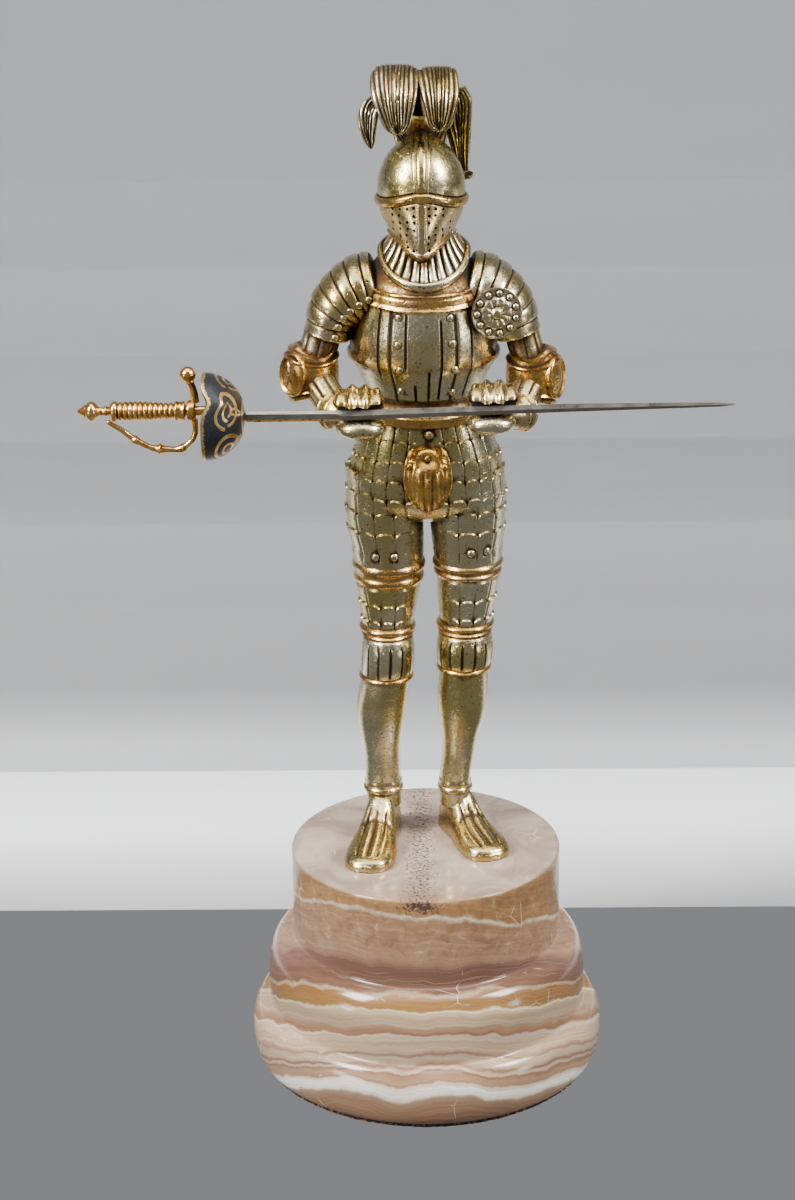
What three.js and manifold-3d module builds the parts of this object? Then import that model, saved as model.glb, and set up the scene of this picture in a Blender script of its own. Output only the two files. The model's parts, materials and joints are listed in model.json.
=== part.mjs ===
// An armour statue: a knight cast in brass, standing on a turned onyx plinth and holding a small sword
// that serves as a letter opener. Millimetres, +Z up, facing -Y, origin at the centre of the underside.
import * as THREE from "three";
import { mergeVertices } from "three/addons/utils/BufferGeometryUtils.js";
import Module from "manifold-3d";

const wasm = await Module();
wasm.setup();

const GAP = 0.3; // clearance between pieces that touch

// Plinth: a cork pad and one block of onyx turned in three tiers.
const CORK = { radius: 55.4, thickness: 1.5 };
const PLINTH = {
  top: 74.4,
  drum: { radius: 44, foot: 43.5, fillet: 1.6, edge: 0.9 },
  middle: { radius: 52.4, foot: 20.5, shoulder: 12, fillet: 1 },
  lowest: { radius: 58.1, shoulder: 10.5 },
  footRadius: 56,
};

// Knight: heights above the floor, and the depth of the body's own axis behind the plinth's centre.
const SOLE = PLINTH.top + GAP;
const BODY_Y = 6;
const HEAD_Y = 4;
const WAIST = 225;
const HIP = 199;
const SIDES = [-1, 1]; // the viewer's left and right

// Sword: its axis lies across the figure, in front of the waist.
const SWORD_Y = -25;
const HILT_Z = 229.8;
const BLADE = {
  tang: -65.1, root: -53.4, step: -24.8, tip: 94.2, // along X
  rootZ: 227.9, middleZ: 229.7, tipZ: 230.6, // the middle line climbs a little towards the tip
  ricasso: 3.6, width: 3.1, thickness: 2, tangWidth: 2, tangThickness: 1.8,
};

const colours = {
  brass: { color: 0x8a7340, roughness: 0.35, metalness: 1 },
  gilt: { color: 0xc08a3c, roughness: 0.28, metalness: 1 },
  steel: { color: 0x8f8b82, roughness: 0.35, metalness: 1 },
  niello: { color: 0x1b1a1c, roughness: 0.4, metalness: 0.6 },
  onyx: { color: 0xa58666, roughness: 0.15, metalness: 0 },
  cork: { color: 0x5f4432, roughness: 0.9, metalness: 0 },
};

const { PI, abs, cos, exp, max, min, pow, sign, sin } = Math;
const TURN = 2 * PI;
const at = (x, y, z) => new THREE.Vector3(x, y, z);
const mix = (a, b, t) => a + (b - a) * t;
const smooth = THREE.MathUtils.smoothstep;
const bump = (t, centre, width) => exp(-pow((t - centre) / width, 2));

/** Values at t on smooth curves through stations, each [t, value, value, ...] in rising t. */
function along(stations, t) {
  const last = stations.length - 1;
  const clamped = min(max(t, stations[0][0]), stations[last][0]);
  let i = stations.findIndex((s) => s[0] >= clamped);
  i = max(i, 1);
  const [a, b] = [stations[i - 1], stations[i]];
  const before = stations[max(i - 2, 0)];
  const after = stations[min(i + 1, last)];
  const u = (clamped - a[0]) / (b[0] - a[0]);
  return a.slice(1).map((value, k) => {
    const slopeA = ((b[k + 1] - before[k + 1]) / (b[0] - before[0])) * (b[0] - a[0]);
    const slopeB = ((after[k + 1] - value) / (after[0] - a[0])) * (b[0] - a[0]);
    const h = u * u * (3 - 2 * u);
    return mix(value, b[k + 1], h) + u * (1 - u) * (slopeA * (1 - u) - slopeB * u);
  });
}

/** Even steps from one value to another, both ends included. */
function steps(from, to, count) {
  return Array.from({ length: count + 1 }, (_, i) => mix(from, to, i / count));
}

/** The manifold of a closed three.js geometry, turned to face out. */
function solid(geometry) {
  const bare = geometry.index ? geometry.clone() : geometry;
  bare.deleteAttribute("normal");
  bare.deleteAttribute("uv");
  const merged = mergeVertices(bare, 1e-4);
  const make = (triVerts) => new wasm.Manifold(
    new wasm.Mesh({ numProp: 3, vertProperties: merged.attributes.position.array, triVerts }),
  );
  const triangles = new Uint32Array(merged.index.array);
  const made = make(triangles);
  return made.volume() > 0 ? made : make(triangles.reverse());
}

/** A closed skin through rings of points: a fan closes each end, unless the last ring meets the first. */
function skin(rings, looped = false) {
  const count = rings[0].length;
  const points = rings.flat();
  const index = [];
  const bands = looped ? rings.length : rings.length - 1;
  for (let r = 0; r < bands; r++)
    for (let k = 0; k < count; k++) {
      const next = (k + 1) % count;
      const above = ((r + 1) % rings.length) * count;
      index.push(r * count + k, r * count + next, above + next);
      index.push(r * count + k, above + next, above + k);
    }
  const close = (ring, first, flip) => {
    const middle = ring.reduce((sum, p) => sum.add(p), at(0, 0, 0)).divideScalar(count);
    const centre = points.push(middle) - 1;
    for (let k = 0; k < count; k++) {
      const pair = [first + k, first + ((k + 1) % count)];
      index.push(centre, ...(flip ? pair.reverse() : pair));
    }
  };
  if (!looped) {
    close(rings[0], 0, true);
    close(rings[rings.length - 1], (rings.length - 1) * count, false);
  }
  const geometry = new THREE.BufferGeometry().setFromPoints(points);
  geometry.setIndex(index);
  return solid(geometry);
}

/** A ring about the vertical axis through x, y at height z: azimuth 0 faces the viewer. */
function level({ x, y, z, wide, front, back = front, power = 2 }, count, relief = () => 0) {
  return Array.from({ length: count }, (_, k) => {
    const azimuth = (k / count) * TURN;
    const [s, c] = [sin(azimuth), cos(azimuth)];
    const rise = relief(azimuth > PI ? azimuth - TURN : azimuth, z);
    const round = pow(abs(s), 2 / power) * sign(s);
    const deep = pow(abs(c), 2 / power) * sign(c);
    const reach = c > 0 ? front : back;
    return at(x + round * wide + s * rise, y - deep * reach - c * rise, z);
  });
}

/** A ring round a path's point: side and up span its plane. */
function hoop(centre, side, up, across, tall, count, relief = () => 0) {
  return Array.from({ length: count }, (_, k) => {
    const angle = (k / count) * TURN;
    const rise = relief(angle);
    return centre.clone()
      .addScaledVector(side, cos(angle) * (across + rise))
      .addScaledVector(up, sin(angle) * (tall + rise));
  });
}

/** A swept body: radii(t) gives [across, tall], and side stays as near to the hint as it can. */
function sweep(points, count, around, radii, { hint = at(1, 0, 0), relief = () => 0 } = {}) {
  const path = new THREE.CatmullRomCurve3(points);
  return skin(steps(0, 1, count).map((t) => {
    const tangent = path.getTangent(t);
    const up = tangent.clone().cross(hint).normalize();
    const side = up.clone().cross(tangent).normalize();
    const [across, tall] = radii(t);
    return hoop(path.getPoint(t), side, up, across, tall, around, (angle) => relief(t, angle));
  }));
}

/** A solid of revolution about a line from a centre along a direction, from [radius, distance] pairs. */
function turned(profile, count, centre, direction) {
  const geometry = new THREE.LatheGeometry(profile.map(([r, h]) => new THREE.Vector2(r, h)), count);
  const spin = new THREE.Quaternion().setFromUnitVectors(at(0, 1, 0), direction.clone().normalize());
  geometry.applyQuaternion(spin).translate(centre.x, centre.y, centre.z);
  return solid(geometry);
}

/** An ellipsoid, its poles along Z. */
function egg(centre, rx, ry, rz, around = 14, tall = 8) {
  const geometry = new THREE.SphereGeometry(1, around, tall).rotateX(PI / 2);
  geometry.scale(rx, ry, rz).translate(centre.x, centre.y, centre.z);
  return solid(geometry);
}

/** A low rivet head standing on a surface. */
function rivet(centre, normal, radius = 1.1, rise = 0.7) {
  return turned([[0, -1], [radius, -1], [0.7 * radius, rise], [0, rise]], 5, centre, normal);
}

const join = (bodies) => bodies.reduce((sum, body) => sum.add(body));

// Plinth
function cork() {
  const { radius, thickness } = CORK;
  return turned([[0, 0], [radius, 0], [radius, thickness], [0, thickness]], 32, at(0, 0, 0), at(0, 0, 1));
}

/** The plinth's profile: quarter rounds for the shoulders, small coves where the tiers meet. */
function onyx() {
  const { drum, middle, lowest, top, footRadius } = PLINTH;
  const bottom = CORK.thickness + GAP;
  const quarter = (count, place) => steps(0, PI / 2, count).map(place);
  const middleStart = drum.radius + drum.fillet;
  const lowestStart = middle.radius + middle.fillet;
  const lowestSide = middle.foot - lowest.shoulder;
  const profile = [
    [0, bottom],
    ...quarter(2, (a) => [mix(footRadius, lowest.radius, sin(a)), mix(lowestSide, bottom, cos(a))]),
    ...quarter(3, (a) => [mix(lowestStart, lowest.radius, cos(a)), mix(lowestSide, middle.foot, sin(a))])
      .slice(1),
    [middle.radius, middle.foot + middle.fillet],
    ...quarter(3, (a) => [
      mix(middleStart, middle.radius, cos(a)), mix(drum.foot - middle.shoulder, drum.foot, sin(a)),
    ]),
    [drum.radius, drum.foot + drum.fillet],
    [drum.radius, top - drum.edge],
    [drum.radius - drum.edge, top],
    [0, top],
  ];
  return turned(profile, 32, at(0, 0, 0), at(0, 0, 1));
}

// Legs: [height, x, y, half width, front to back] from the ankle to the hip, one table a side.
const LEG = {
  [-1]: {
    greave: [
      [85, -13.6, 9, 5.7, 5.8], [95, -13.8, 9, 5.9, 6], [103.5, -14, 9.2, 6, 6.6],
      [110, -14.15, 9.4, 6.9, 7.8], [117, -14.1, 9.2, 7.9, 8.6], [124, -13.5, 8.4, 8.1, 8.6],
      [132, -12.2, 7.6, 7.7, 8.2],
    ],
    knee: [
      [130.5, -12.4, 7, 8.1, 8.6], [135, -11.9, 6.6, 8.3, 9.4], [141, -11.6, 6.4, 8.2, 9.4],
      [146, -11.7, 6.8, 7.9, 8.8], [149.5, -11.7, 7, 8.6, 9.2],
    ],
    thigh: [
      [147, -11.7, 7.2, 7.9, 8.4], [158, -11.3, 7, 9.4, 10], [166, -11.1, 7, 10.6, 11],
      [174, -11.3, 6.8, 11.3, 12], [186, -12.3, 6.6, 12.2, 13], [HIP, -12.6, 6.4, 11.6, 12.6],
    ],
    bands: { low: 163.9, high: 171.2 },
  },
  1: {
    greave: [
      [85, 9.8, 9, 5, 5.6], [95, 9.9, 9, 5.1, 5.8], [103.5, 10.9, 9.2, 5.4, 6.4],
      [110, 11.4, 9.4, 6.1, 7.4], [117, 12.1, 9.2, 7.6, 8.4], [124, 12.3, 8.4, 8.1, 8.6],
      [134, 12.8, 7.6, 7.7, 8.2],
    ],
    knee: [
      [133.5, 12.7, 7, 8, 8.6], [137, 12.9, 6.6, 8.6, 9.4], [142, 13.1, 6.4, 8.8, 9.4],
      [147, 13.1, 6.8, 8.3, 8.8], [150.5, 13.2, 7, 8.8, 9.2],
    ],
    thigh: [
      [147, 13.2, 7.2, 8, 8.4], [158, 13.7, 7, 9.2, 10], [166, 14, 7, 10, 11],
      [174, 14, 6.8, 11, 12], [186, 14, 6.6, 12, 13], [HIP, 13.8, 6.4, 11.6, 12.6],
    ],
    bands: { low: 166.4, high: 171.4 },
  },
};

/** A limb about the vertical, with rings at the given heights. */
function limb(stations, heights, around, relief) {
  return skin(heights.map((z) => {
    const [x, y, wide, front] = along(stations, z);
    return level({ x, y, z, wide, front }, around, relief);
  }));
}

// Scale armour: rows of round-topped plates, every other row shifted by half a plate.
const SCALE = { row: 6.9, step: 0.7, arch: 1.7, lap: 0.25 };
const COLUMNS = { thigh: 8, hips: 12 };

/** Rings of scales from one height to another: each row stands proud at its arched top. */
function scaleRings(low, high, columns, section) {
  const rows = steps(0, 1, Math.round((high - low) / SCALE.row));
  const rings = rows.flatMap((share, row) => {
    const ends = row === 0 || row === rows.length - 1;
    const edge = (proud, lift) => {
      const z = mix(low, high, share) + lift;
      return section(z, columns, proud).map((p, k) =>
        p.setZ(z + (ends ? 0 : SCALE.arch * ((k + row) % 2 ? 0.5 : -0.5))));
    };
    return [edge(SCALE.step / 2, -SCALE.lap), edge(-SCALE.step / 2, SCALE.lap)];
  });
  return rings.slice(1, -1);
}

function cuisse(side) {
  const { thigh, bands } = LEG[side];
  const section = (z, columns, proud) => {
    const [x, y, wide, front] = along(thigh, z);
    return level({ x, y, z, wide, front }, 2 * columns, () => proud);
  };
  const low = scaleRings(thigh[0][0], bands.low, COLUMNS.thigh, section);
  const high = scaleRings(bands.high, HIP, COLUMNS.thigh, section);
  // Share of the way up the band, and how far it stands proud there.
  const band = [[0.1, 0], [0.2, 0.7], [0.8, 0.7], [0.9, 0]].map(([share, proud]) =>
    section(mix(bands.low, bands.high, share), COLUMNS.thigh, proud));
  return skin([...low, ...band, ...high]);
}

// Knee cops: a plain rim above and below, and flutes between them over the front.
const POLEYN = { flutes: 8, depth: 0.45, lowRim: 1.4, highRim: 2.2, proud: 0.5 };

function poleyn(side) {
  const { flutes, depth, lowRim, highRim, proud } = POLEYN;
  const stations = LEG[side].knee;
  const [low, high] = [stations[0][0], stations[stations.length - 1][0]];
  const heights = [low, low + lowRim, low + lowRim + 1, high - highRim - 0.8, high - highRim, high];
  return limb(stations, heights, 2 * flutes, (azimuth, z) => {
    const onRim = z <= low + lowRim || z >= high - highRim;
    const front = smooth(cos(azimuth), -0.1, 0.4);
    return onRim ? proud : front * depth * cos(flutes * azimuth);
  });
}

function greave(side) {
  const stations = LEG[side].greave;
  return limb(stations, stations.map(([z]) => z), 10);
}

// Sabatons: heel and toe on the plinth, and half the width across the ball of the foot.
const SABATON = {
  [-1]: { heel: [-12.4, 17.5], toe: [-19.6, -23.4], half: 7.9 },
  1: { heel: [7.6, 17.5], toe: [22.4, -14.6], half: 7.6 },
};

function sabaton(side) {
  const { heel, toe, half } = SABATON[side];
  const [start, end] = [at(...heel, SOLE), at(...toe, SOLE)];
  const forward = end.clone().sub(start);
  const across = at(forward.y, -forward.x, 0).normalize();
  // Share of the length from the heel, half width as a share, height.
  const shape = [
    [0, 0.4, 7.4], [0.1, 0.66, 12], [0.32, 0.74, 14], [0.5, 0.84, 9.4], [0.68, 0.97, 6.6],
    [0.84, 0.98, 5.2], [0.95, 0.72, 3.9], [1, 0.36, 2.4],
  ];
  const points = 8;
  return skin(shape.map(([s, share, tall]) => {
    const centre = start.clone().addScaledVector(forward, s);
    return steps(0, 1, points).map((k) => {
      const angle = mix(-0.32, PI + 0.32, k);
      const height = sin(angle) > 0 ? tall * sin(angle) + 0.6 : 0;
      return centre.clone().addScaledVector(across, half * share * cos(angle)).setZ(SOLE + height);
    });
  }));
}

// Trunk: [height, half width, front, back] about the body's axis.
const TRUNK = [
  [218.5, 17.4, 15.6, 14], [222, 18.2, 17, 15], [WAIST, 17.2, 15.6, 13.6], [227.5, 17.6, 15.8, 13.6],
  [231, 19.2, 17.6, 14.6], [234.5, 20.7, 19, 15.4], [238.5, 22.6, 20.4, 16.2], [245, 22.8, 21.2, 17],
  [252, 22, 21, 17.4], [258, 20.6, 20.2, 17], [263, 18.6, 18.8, 15.6], [267, 16, 15.6, 13.6],
  [271, 12.6, 12.2, 11.6], [276, 9.6, 9.6, 9.6],
];

const KEEL = { rise: 0.5, width: 0.16 }; // down the middle of the breast
const FLANGE = { low: 238.9, high: 241.1, from: 1, to: 2.1 }; // a lip under each arm, between two azimuths

function cuirass() {
  // Heights of the rings, each with how far it stands proud of the trunk.
  const rings = [
    [219, 0.5], [221.6, 0.5], [222.2, 0], [228, 0], [233, 0], [238.8, 0], [239.6, 0.9], [241.2, 0], [249, 0],
    [256.4, 0], [256.9, 0.6], [261.6, 0.6], [262, 0], [267, 0], [274, 0],
  ];
  return skin(rings.map(([z, proud]) => {
    const [wide, front, back] = along(TRUNK, z);
    const onFlange = z > FLANGE.low && z < FLANGE.high;
    return level({ x: 0.4, y: BODY_Y, z, wide, front, back }, 20, (azimuth) => {
      const keel = KEEL.rise * bump(azimuth, 0, KEEL.width);
      const beside = abs(azimuth) > FLANGE.from && abs(azimuth) < FLANGE.to;
      return keel + (onFlange && !beside ? 0 : proud);
    });
  }));
}

// Hips: the scale skirt that carries the trunk down onto the thighs.
function fauld() {
  const stations = [
    [186, 1.2, 25, 12.6], [192, 1.2, 25.4, 14.4], [HIP, 0.8, 24.6, 15.8], [206.6, 1.1, 23.2, 16],
    [213, 0.9, 20.8, 15.8], [219.5, 0.6, 18, 15.2],
  ];
  return skin(scaleRings(186, 219.5, COLUMNS.hips, (z, columns, proud) => {
    const [x, wide, front] = along(stations, z);
    return level({ x, y: BODY_Y, z, wide, front, power: 2.2 }, 2 * columns, () => proud);
  }));
}

/** The shell below the belt, with three studs round its top, and the button above it. */
function codpiece() {
  const path = [at(1.4, -8.6, 212.4), at(1.4, -11.6, 208), at(1.4, -12.4, 202), at(1.6, -9, 195.8),
    at(1.8, -3, 189)];
  const widths = [[0, 4.6, 1.6], [0.25, 7.2, 3.8], [0.55, 6.6, 4.4], [0.8, 3.8, 3.6], [1, 1.6, 2]];
  const shell = sweep(path, 5, 12, (t) => along(widths, t),
    { relief: (t, angle) => 0.25 * cos(6 * angle) });
  const studs = [-1.2, 0, 1.2].map((a) =>
    rivet(at(1.4 + 6 * sin(a), -14.4 + 1.6 * abs(a), 205 + 6 * cos(a)), at(0.3 * a, -1, 0.3), 1.3, 1));
  const button = rivet(at(1.9, BODY_Y - 16.2, 216.6), at(0, -1, 0), 1.5, 1.5);
  return join([shell, ...studs, button]);
}

// Gorget: a round collar of petals on a rolled rim, low in front and high at the neck.
const COLLAR = { petals: 16, wide: 13.4, front: 15, back: 12, x: 0.7, y: 2, lowest: 264.5 };

/** Height of the collar's rim at a depth y: it climbs to the side, then more gently behind. */
function rimHeight(y) {
  const front = COLLAR.y - COLLAR.front;
  return COLLAR.lowest + 0.553 * (min(y, COLLAR.y) - front) + 0.22 * max(0, y - COLLAR.y);
}

function gorget() {
  // Share of the rim's radius, rise above it, and how much of the petals' relief it carries.
  const profile = [[0.98, -2, 0], [1.05, 0.2, 0], [0.94, 0.8, 0.4], [0.78, 3.6, 1], [0.62, 8, 0.3]];
  const count = 2 * COLLAR.petals;
  return skin(profile.map(([share, rise, fluted]) => steps(0, count - 1, count - 1).map((k) => {
    const azimuth = (k / count) * TURN;
    const reach = cos(azimuth) > 0 ? COLLAR.front : COLLAR.back;
    const y = COLLAR.y - reach * cos(azimuth);
    const lift = rise + (k % 2 ? 0.5 : -0.4) * fluted;
    return at(COLLAR.x + COLLAR.wide * share * sin(azimuth), mix(COLLAR.y, y, share), rimHeight(y) + lift);
  })));
}

// Helmet: a close helmet, a round skull over a keeled visor, with a low comb.
const SKULL = { z: 290, wide: 13.6, front: 14.4, back: 15.2, tall: 17.1 };
// Rows of the face from the brow down: height in front, height at the side, half width, reach in front,
// reach behind, and roundness of the front, where less than 2 draws it to a keel.
const FACE = [
  [292.4, 289.3, 13.5, 14.3, 15.2, 2], [292.1, 289, 14, 15, 15.6, 2], [289.8, 286.6, 13.6, 15.2, 15.4, 2],
  [289.4, 286.2, 12.9, 14.8, 14.8, 1.9], [282, 282.2, 11.6, 16.2, 13.2, 1.6],
  [273.4, 278, 9.8, 15.9, 12.2, 1.5], [272.7, 277, 8.9, 15, 11.8, 1.5], [266, 266, 8.4, 8.4, 9.4, 2],
];

function helmet() {
  const around = 16;
  const ring = (z, wide, ahead, behind, power) =>
    level({ x: 0, y: HEAD_Y, z, wide, front: ahead, back: behind, power }, around);
  // Rings of the skull, as angles above its widest level, from the crown down.
  const dome = [1.5, 1.2, 0.85, 0.55, 0.25].map((rise) => {
    const share = cos(rise);
    return ring(SKULL.z + SKULL.tall * sin(rise), SKULL.wide * share, SKULL.front * share, SKULL.back * share);
  });
  const face = FACE.map(([front, side, wide, ahead, behind, power]) =>
    ring(front, wide, ahead, behind, power).map((p) => {
      const aside = p.y < HEAD_Y ? smooth(abs(p.x) / wide, 0, 1.1) : 1;
      return p.setZ(mix(front, side, aside));
    }));
  return skin([...dome, ...face]).add(comb());
}

/** The comb: a ridge over the crown, from the brow to the nape. */
function comb() {
  return skin(steps(0.16, 2.98, 8).map((angle) => {
    const out = at(0, -cos(angle), sin(angle));
    const reach = angle < PI / 2 ? SKULL.front : SKULL.back;
    const foot = at(0, HEAD_Y - cos(angle) * reach, SKULL.z + sin(angle) * SKULL.tall);
    const half = mix(1.6, 2.5, sin(angle));
    return [[-half - 0.4, -1.2], [half + 0.4, -1.2], [half, 1], [0, 1.7], [-half, 1]]
      .map(([x, rise]) => foot.clone().addScaledVector(out, rise).setX(x));
  }));
}

// Plume: feathers that spring from the back of the crown and fall forward, aside and behind, each with
// its spine, its half width and half thickness along it, and its barbs.
const FEATHERS = [
  { spine: [[-1.5, 11, 302], [-5.2, 10, 316], [-7.4, 3, 325.6], [-7.8, -5, 320.4], [-6.8, -8, 309.4]],
    half: [[0, 2.5, 2.5], [0.25, 6, 3.6], [0.5, 6.6, 4], [0.75, 6.9, 4.4], [1, 3.2, 2.8]], barbs: 6 },
  { spine: [[1.5, 11, 302], [4, 10, 316], [5, 3, 324.9], [5.6, -5, 320], [5.4, -8, 310.4]],
    half: [[0, 2.5, 2.5], [0.25, 5.4, 3.6], [0.5, 5.9, 4], [0.75, 6.2, 4.4], [1, 3, 2.8]], barbs: 6 },
  { spine: [[-3, 11, 303], [-9.5, 10, 315], [-15, 7, 314.6], [-16, 5, 309], [-15, 4, 303]],
    half: [[0, 2, 2], [0.25, 3.4, 2.4], [0.5, 3.2, 2.6], [0.75, 3, 2.4], [1, 0.8, 0.8]], barbs: 4 },
  { spine: [[3, 12, 303], [7.4, 12, 316], [10.8, 12, 316.5], [11.6, 14, 307], [13, 13, 293.5], [15.8, 12, 294]],
    half: [[0, 2, 2], [0.2, 4.6, 3.2], [0.4, 4.4, 3.2], [0.6, 3.8, 3.2], [0.85, 2.2, 2], [1, 1.2, 1]], barbs: 4 },
  { spine: [[0, 11, 303], [0, 14, 318], [0, 20.5, 316.5], [0, 22.5, 304], [0, 20, 290]],
    half: [[0, 3, 3], [0.25, 7.2, 3.8], [0.5, 9, 4], [0.75, 8, 3.2], [1, 2.8, 1.4]], barbs: 5 },
];

function plume() {
  const feathers = FEATHERS.map(({ spine, half, barbs }) =>
    sweep(spine.map((p) => at(...p)), 5, 2 * barbs, (t) => along(half, t),
      { relief: (t, angle) => 0.25 * cos(barbs * angle) }));
  return join(feathers);
}

// Pauldrons: lames that wrap the shoulder from the neck down to the arm.
const LAMES = 6;
const SHOULDER = [
  // Share of the run, x, y, z of the middle, then reach outward and reach front to back.
  [0, 13.5, 5, 261.6, 9.4, 12], [0.25, 18.6, 4.6, 260, 10, 12.6], [0.5, 23.8, 4, 256.8, 9, 12],
  [0.75, 27.4, 3.4, 252.4, 7.8, 10.2], [1, 29.4, 3, 245.8, 6.4, 8.2],
];

function pauldron(side) {
  const lames = steps(0, LAMES - 1, LAMES - 1).flatMap((lame) => [0.02, 0.98].map((part) => {
    const t = (lame + part) / LAMES;
    const [x, y, z, out, deep] = along(SHOULDER, t);
    const [x2, , z2] = along(SHOULDER, min(t + 0.02, 1));
    const [x1, , z1] = along(SHOULDER, max(t - 0.02, 0));
    const up = at(z1 - z2, 0, x2 - x1).normalize();
    const proud = mix(-0.4, 0.5, part);
    return hoop(at(x, y, z), at(0, 1, 0), up, deep + proud, out + proud, 12)
      .map((p) => p.setX(side * p.x));
  }));
  return skin(lames);
}

// Besagew: the round rosette hung before the viewer's right armpit.
const BESAGEW = { centre: [22.6, -10.2, 255.4], normal: [0.22, -1, 0.05], radius: 7.9, studs: 11 };

function besagew() {
  const { radius, studs } = BESAGEW;
  const normal = at(...BESAGEW.normal).normalize();
  const across = at(-normal.y, normal.x, 0).normalize();
  const up = normal.clone().cross(across);
  // Radius, rise, and rise of the studs.
  const rows = [[0.92, -3, 0], [1, 0.3, 0], [0.78, 0.5, 0.9], [0.54, 0.9, 0], [0.16, 0.9, 0], [0.12, 1.9, 0]];
  const count = 2 * studs;
  return skin(rows.map(([share, rise, stud]) =>
    hoop(at(...BESAGEW.centre), across, up, share * radius, share * radius, count)
      .map((p, k) => p.addScaledVector(normal, rise + (k % 2 ? stud : 0)))));
}

// Arms: elbow, wrist and hand, bent so that both hands meet the sword before the waist.
const SHOULDER_JOINT = [29.6, 3, 250];
const ARM = {
  [-1]: { elbow: [-34.2, 0.5, 234.4], wrist: [-26, -12.5, 225.4], hand: [-19.4, -19, 0], radius: 5.8,
    wing: [-0.72, -0.68, 0.1] },
  1: { elbow: [34.2, 0.5, 232.8], wrist: [29, -12.5, 225], hand: [21.4, -19, 0], radius: 5.3,
    wing: [0.88, -0.46, 0.05] },
};

function arm(side) {
  const { elbow, wrist, radius, wing } = ARM[side];
  const [bend, cuff] = [at(...elbow), at(...wrist)];
  const shoulder = at(...SHOULDER_JOINT).multiply(at(side, 1, 1));
  const tube = (from, to, start, end) => sweep([from, from.clone().lerp(to, 0.5), to], 1, 12,
    (t) => [mix(start, end, t), mix(start, end, t)],
    { hint: at(0, 1, 0), relief: (t, angle) => 0.3 * cos(6 * angle) });
  // Couter: a round cop between two raised bands, with a plate outside.
  const rows = [[-1, 0.62, 0], [-0.72, 0.92, 0.6], [-0.44, 0.97, 0], [0.44, 0.97, 0], [0.72, 0.92, 0.6],
    [1, 0.62, 0]];
  const cop = skin(rows.map(([s, share, proud]) => level({
    x: bend.x, y: bend.y, z: bend.z + 9.2 * s, wide: 8.4 * share + proud, front: 8.6 * share + proud,
  }, 12)));
  const outward = at(...wing).normalize();
  const plate = turned([[0, -4], [6.4, -4], [6.4, -0.2], [5.2, 0.8], [0, 0.8]], 9,
    bend.clone().addScaledVector(outward, 8), outward);
  return join([tube(shoulder, bend, radius, radius), tube(bend, cuff, 5.6, 4.6), cop, plate]);
}

/** Height of the blade's middle line at x. */
function bladeHeight(x) {
  const { step, tip, rootZ, middleZ, tipZ } = BLADE;
  return along([[step, rootZ], [mix(step, tip, 0.53), middleZ], [tip, tipZ]], x)[0];
}

// Hands: sizes about the point where the blade crosses the palm.
const HAND = {
  fingers: { half: 7.8, above: 2, deep: 7.2, tall: 5, ribs: 4, ribDepth: 0.45 },
  back: { behind: 3, below: 1.2, wide: 7.2, deep: 4.6, tall: 6.6 },
  thumb: { ahead: 1.6, below: 5.2, wide: 7.6, deep: 6.4, tall: 3.7 },
  cuff: [[0, -4], [5.4, -4], [6.1, -2], [5.4, 1.6], [4.4, 7], [0, 7]], // radius, distance from the wrist
  reach: 12, // half the length of the hollow along the blade
};

/** A half-closed hand: four fingers arch over the blade as one ribbed shell, the thumb lies under it. */
function gauntlet(side) {
  const { hand, wrist } = ARM[side];
  const [x, y] = hand;
  const z = bladeHeight(x);
  const place = (out, ahead, rise) => at(x + out, y + ahead, z + rise);
  const { half, above, deep, tall, ribs, ribDepth } = HAND.fingers;
  const knuckles = [place(-half, 0, above), place(0, -0.4, above + 0.2), place(half, 0, above)];
  const fingers = sweep(knuckles, 2 * ribs, 8, (t) => {
    const round = pow(max(0.04, 1 - pow(abs(2 * t - 1), 3)), 0.5);
    return [deep * round, tall * round];
  }, { hint: at(0, 1, 0), relief: (t) => -ribDepth * cos(ribs * TURN * t) });
  const { back, thumb } = HAND;
  const palm = egg(place(-0.5 * side, back.behind, -back.below), back.wide, back.deep, back.tall, 8, 5);
  const ball = egg(place(-0.6 * side, -thumb.ahead, -thumb.below), thumb.wide, thumb.deep, thumb.tall, 9, 5);
  const cuff = turned(HAND.cuff, 10, at(...wrist), place(0, 0, -3).sub(at(...wrist)));
  // The hollow of the hand opens to the front, where the blade lies in it.
  const clear = BLADE.ricasso / 2 + GAP;
  const section = [[-9, -clear], [0.5, -clear], [1.4, 0.8], [-1, 3.4], [-4.4, 3.6], [-9, clear]];
  const slope = (BLADE.middleZ - BLADE.rootZ) / (mix(BLADE.step, BLADE.tip, 0.5) - BLADE.step);
  const hollow = skin([-HAND.reach, HAND.reach].map((out) =>
    section.map(([ahead, rise]) => place(out, ahead, rise + slope * out))));
  return join([fingers, palm, ball, cuff]).subtract(hollow);
}

function knight() {
  const pairs = SIDES.flatMap((side) => [
    sabaton(side), greave(side), poleyn(side), cuisse(side), pauldron(side), arm(side), gauntlet(side),
  ]);
  return join([cuirass(), fauld(), codpiece(), gorget(), helmet(), plume(), besagew(), ...pairs]);
}

// Sword
const HILT = at(0, SWORD_Y, HILT_Z);
const AXIS = at(1, 0, 0);

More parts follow.
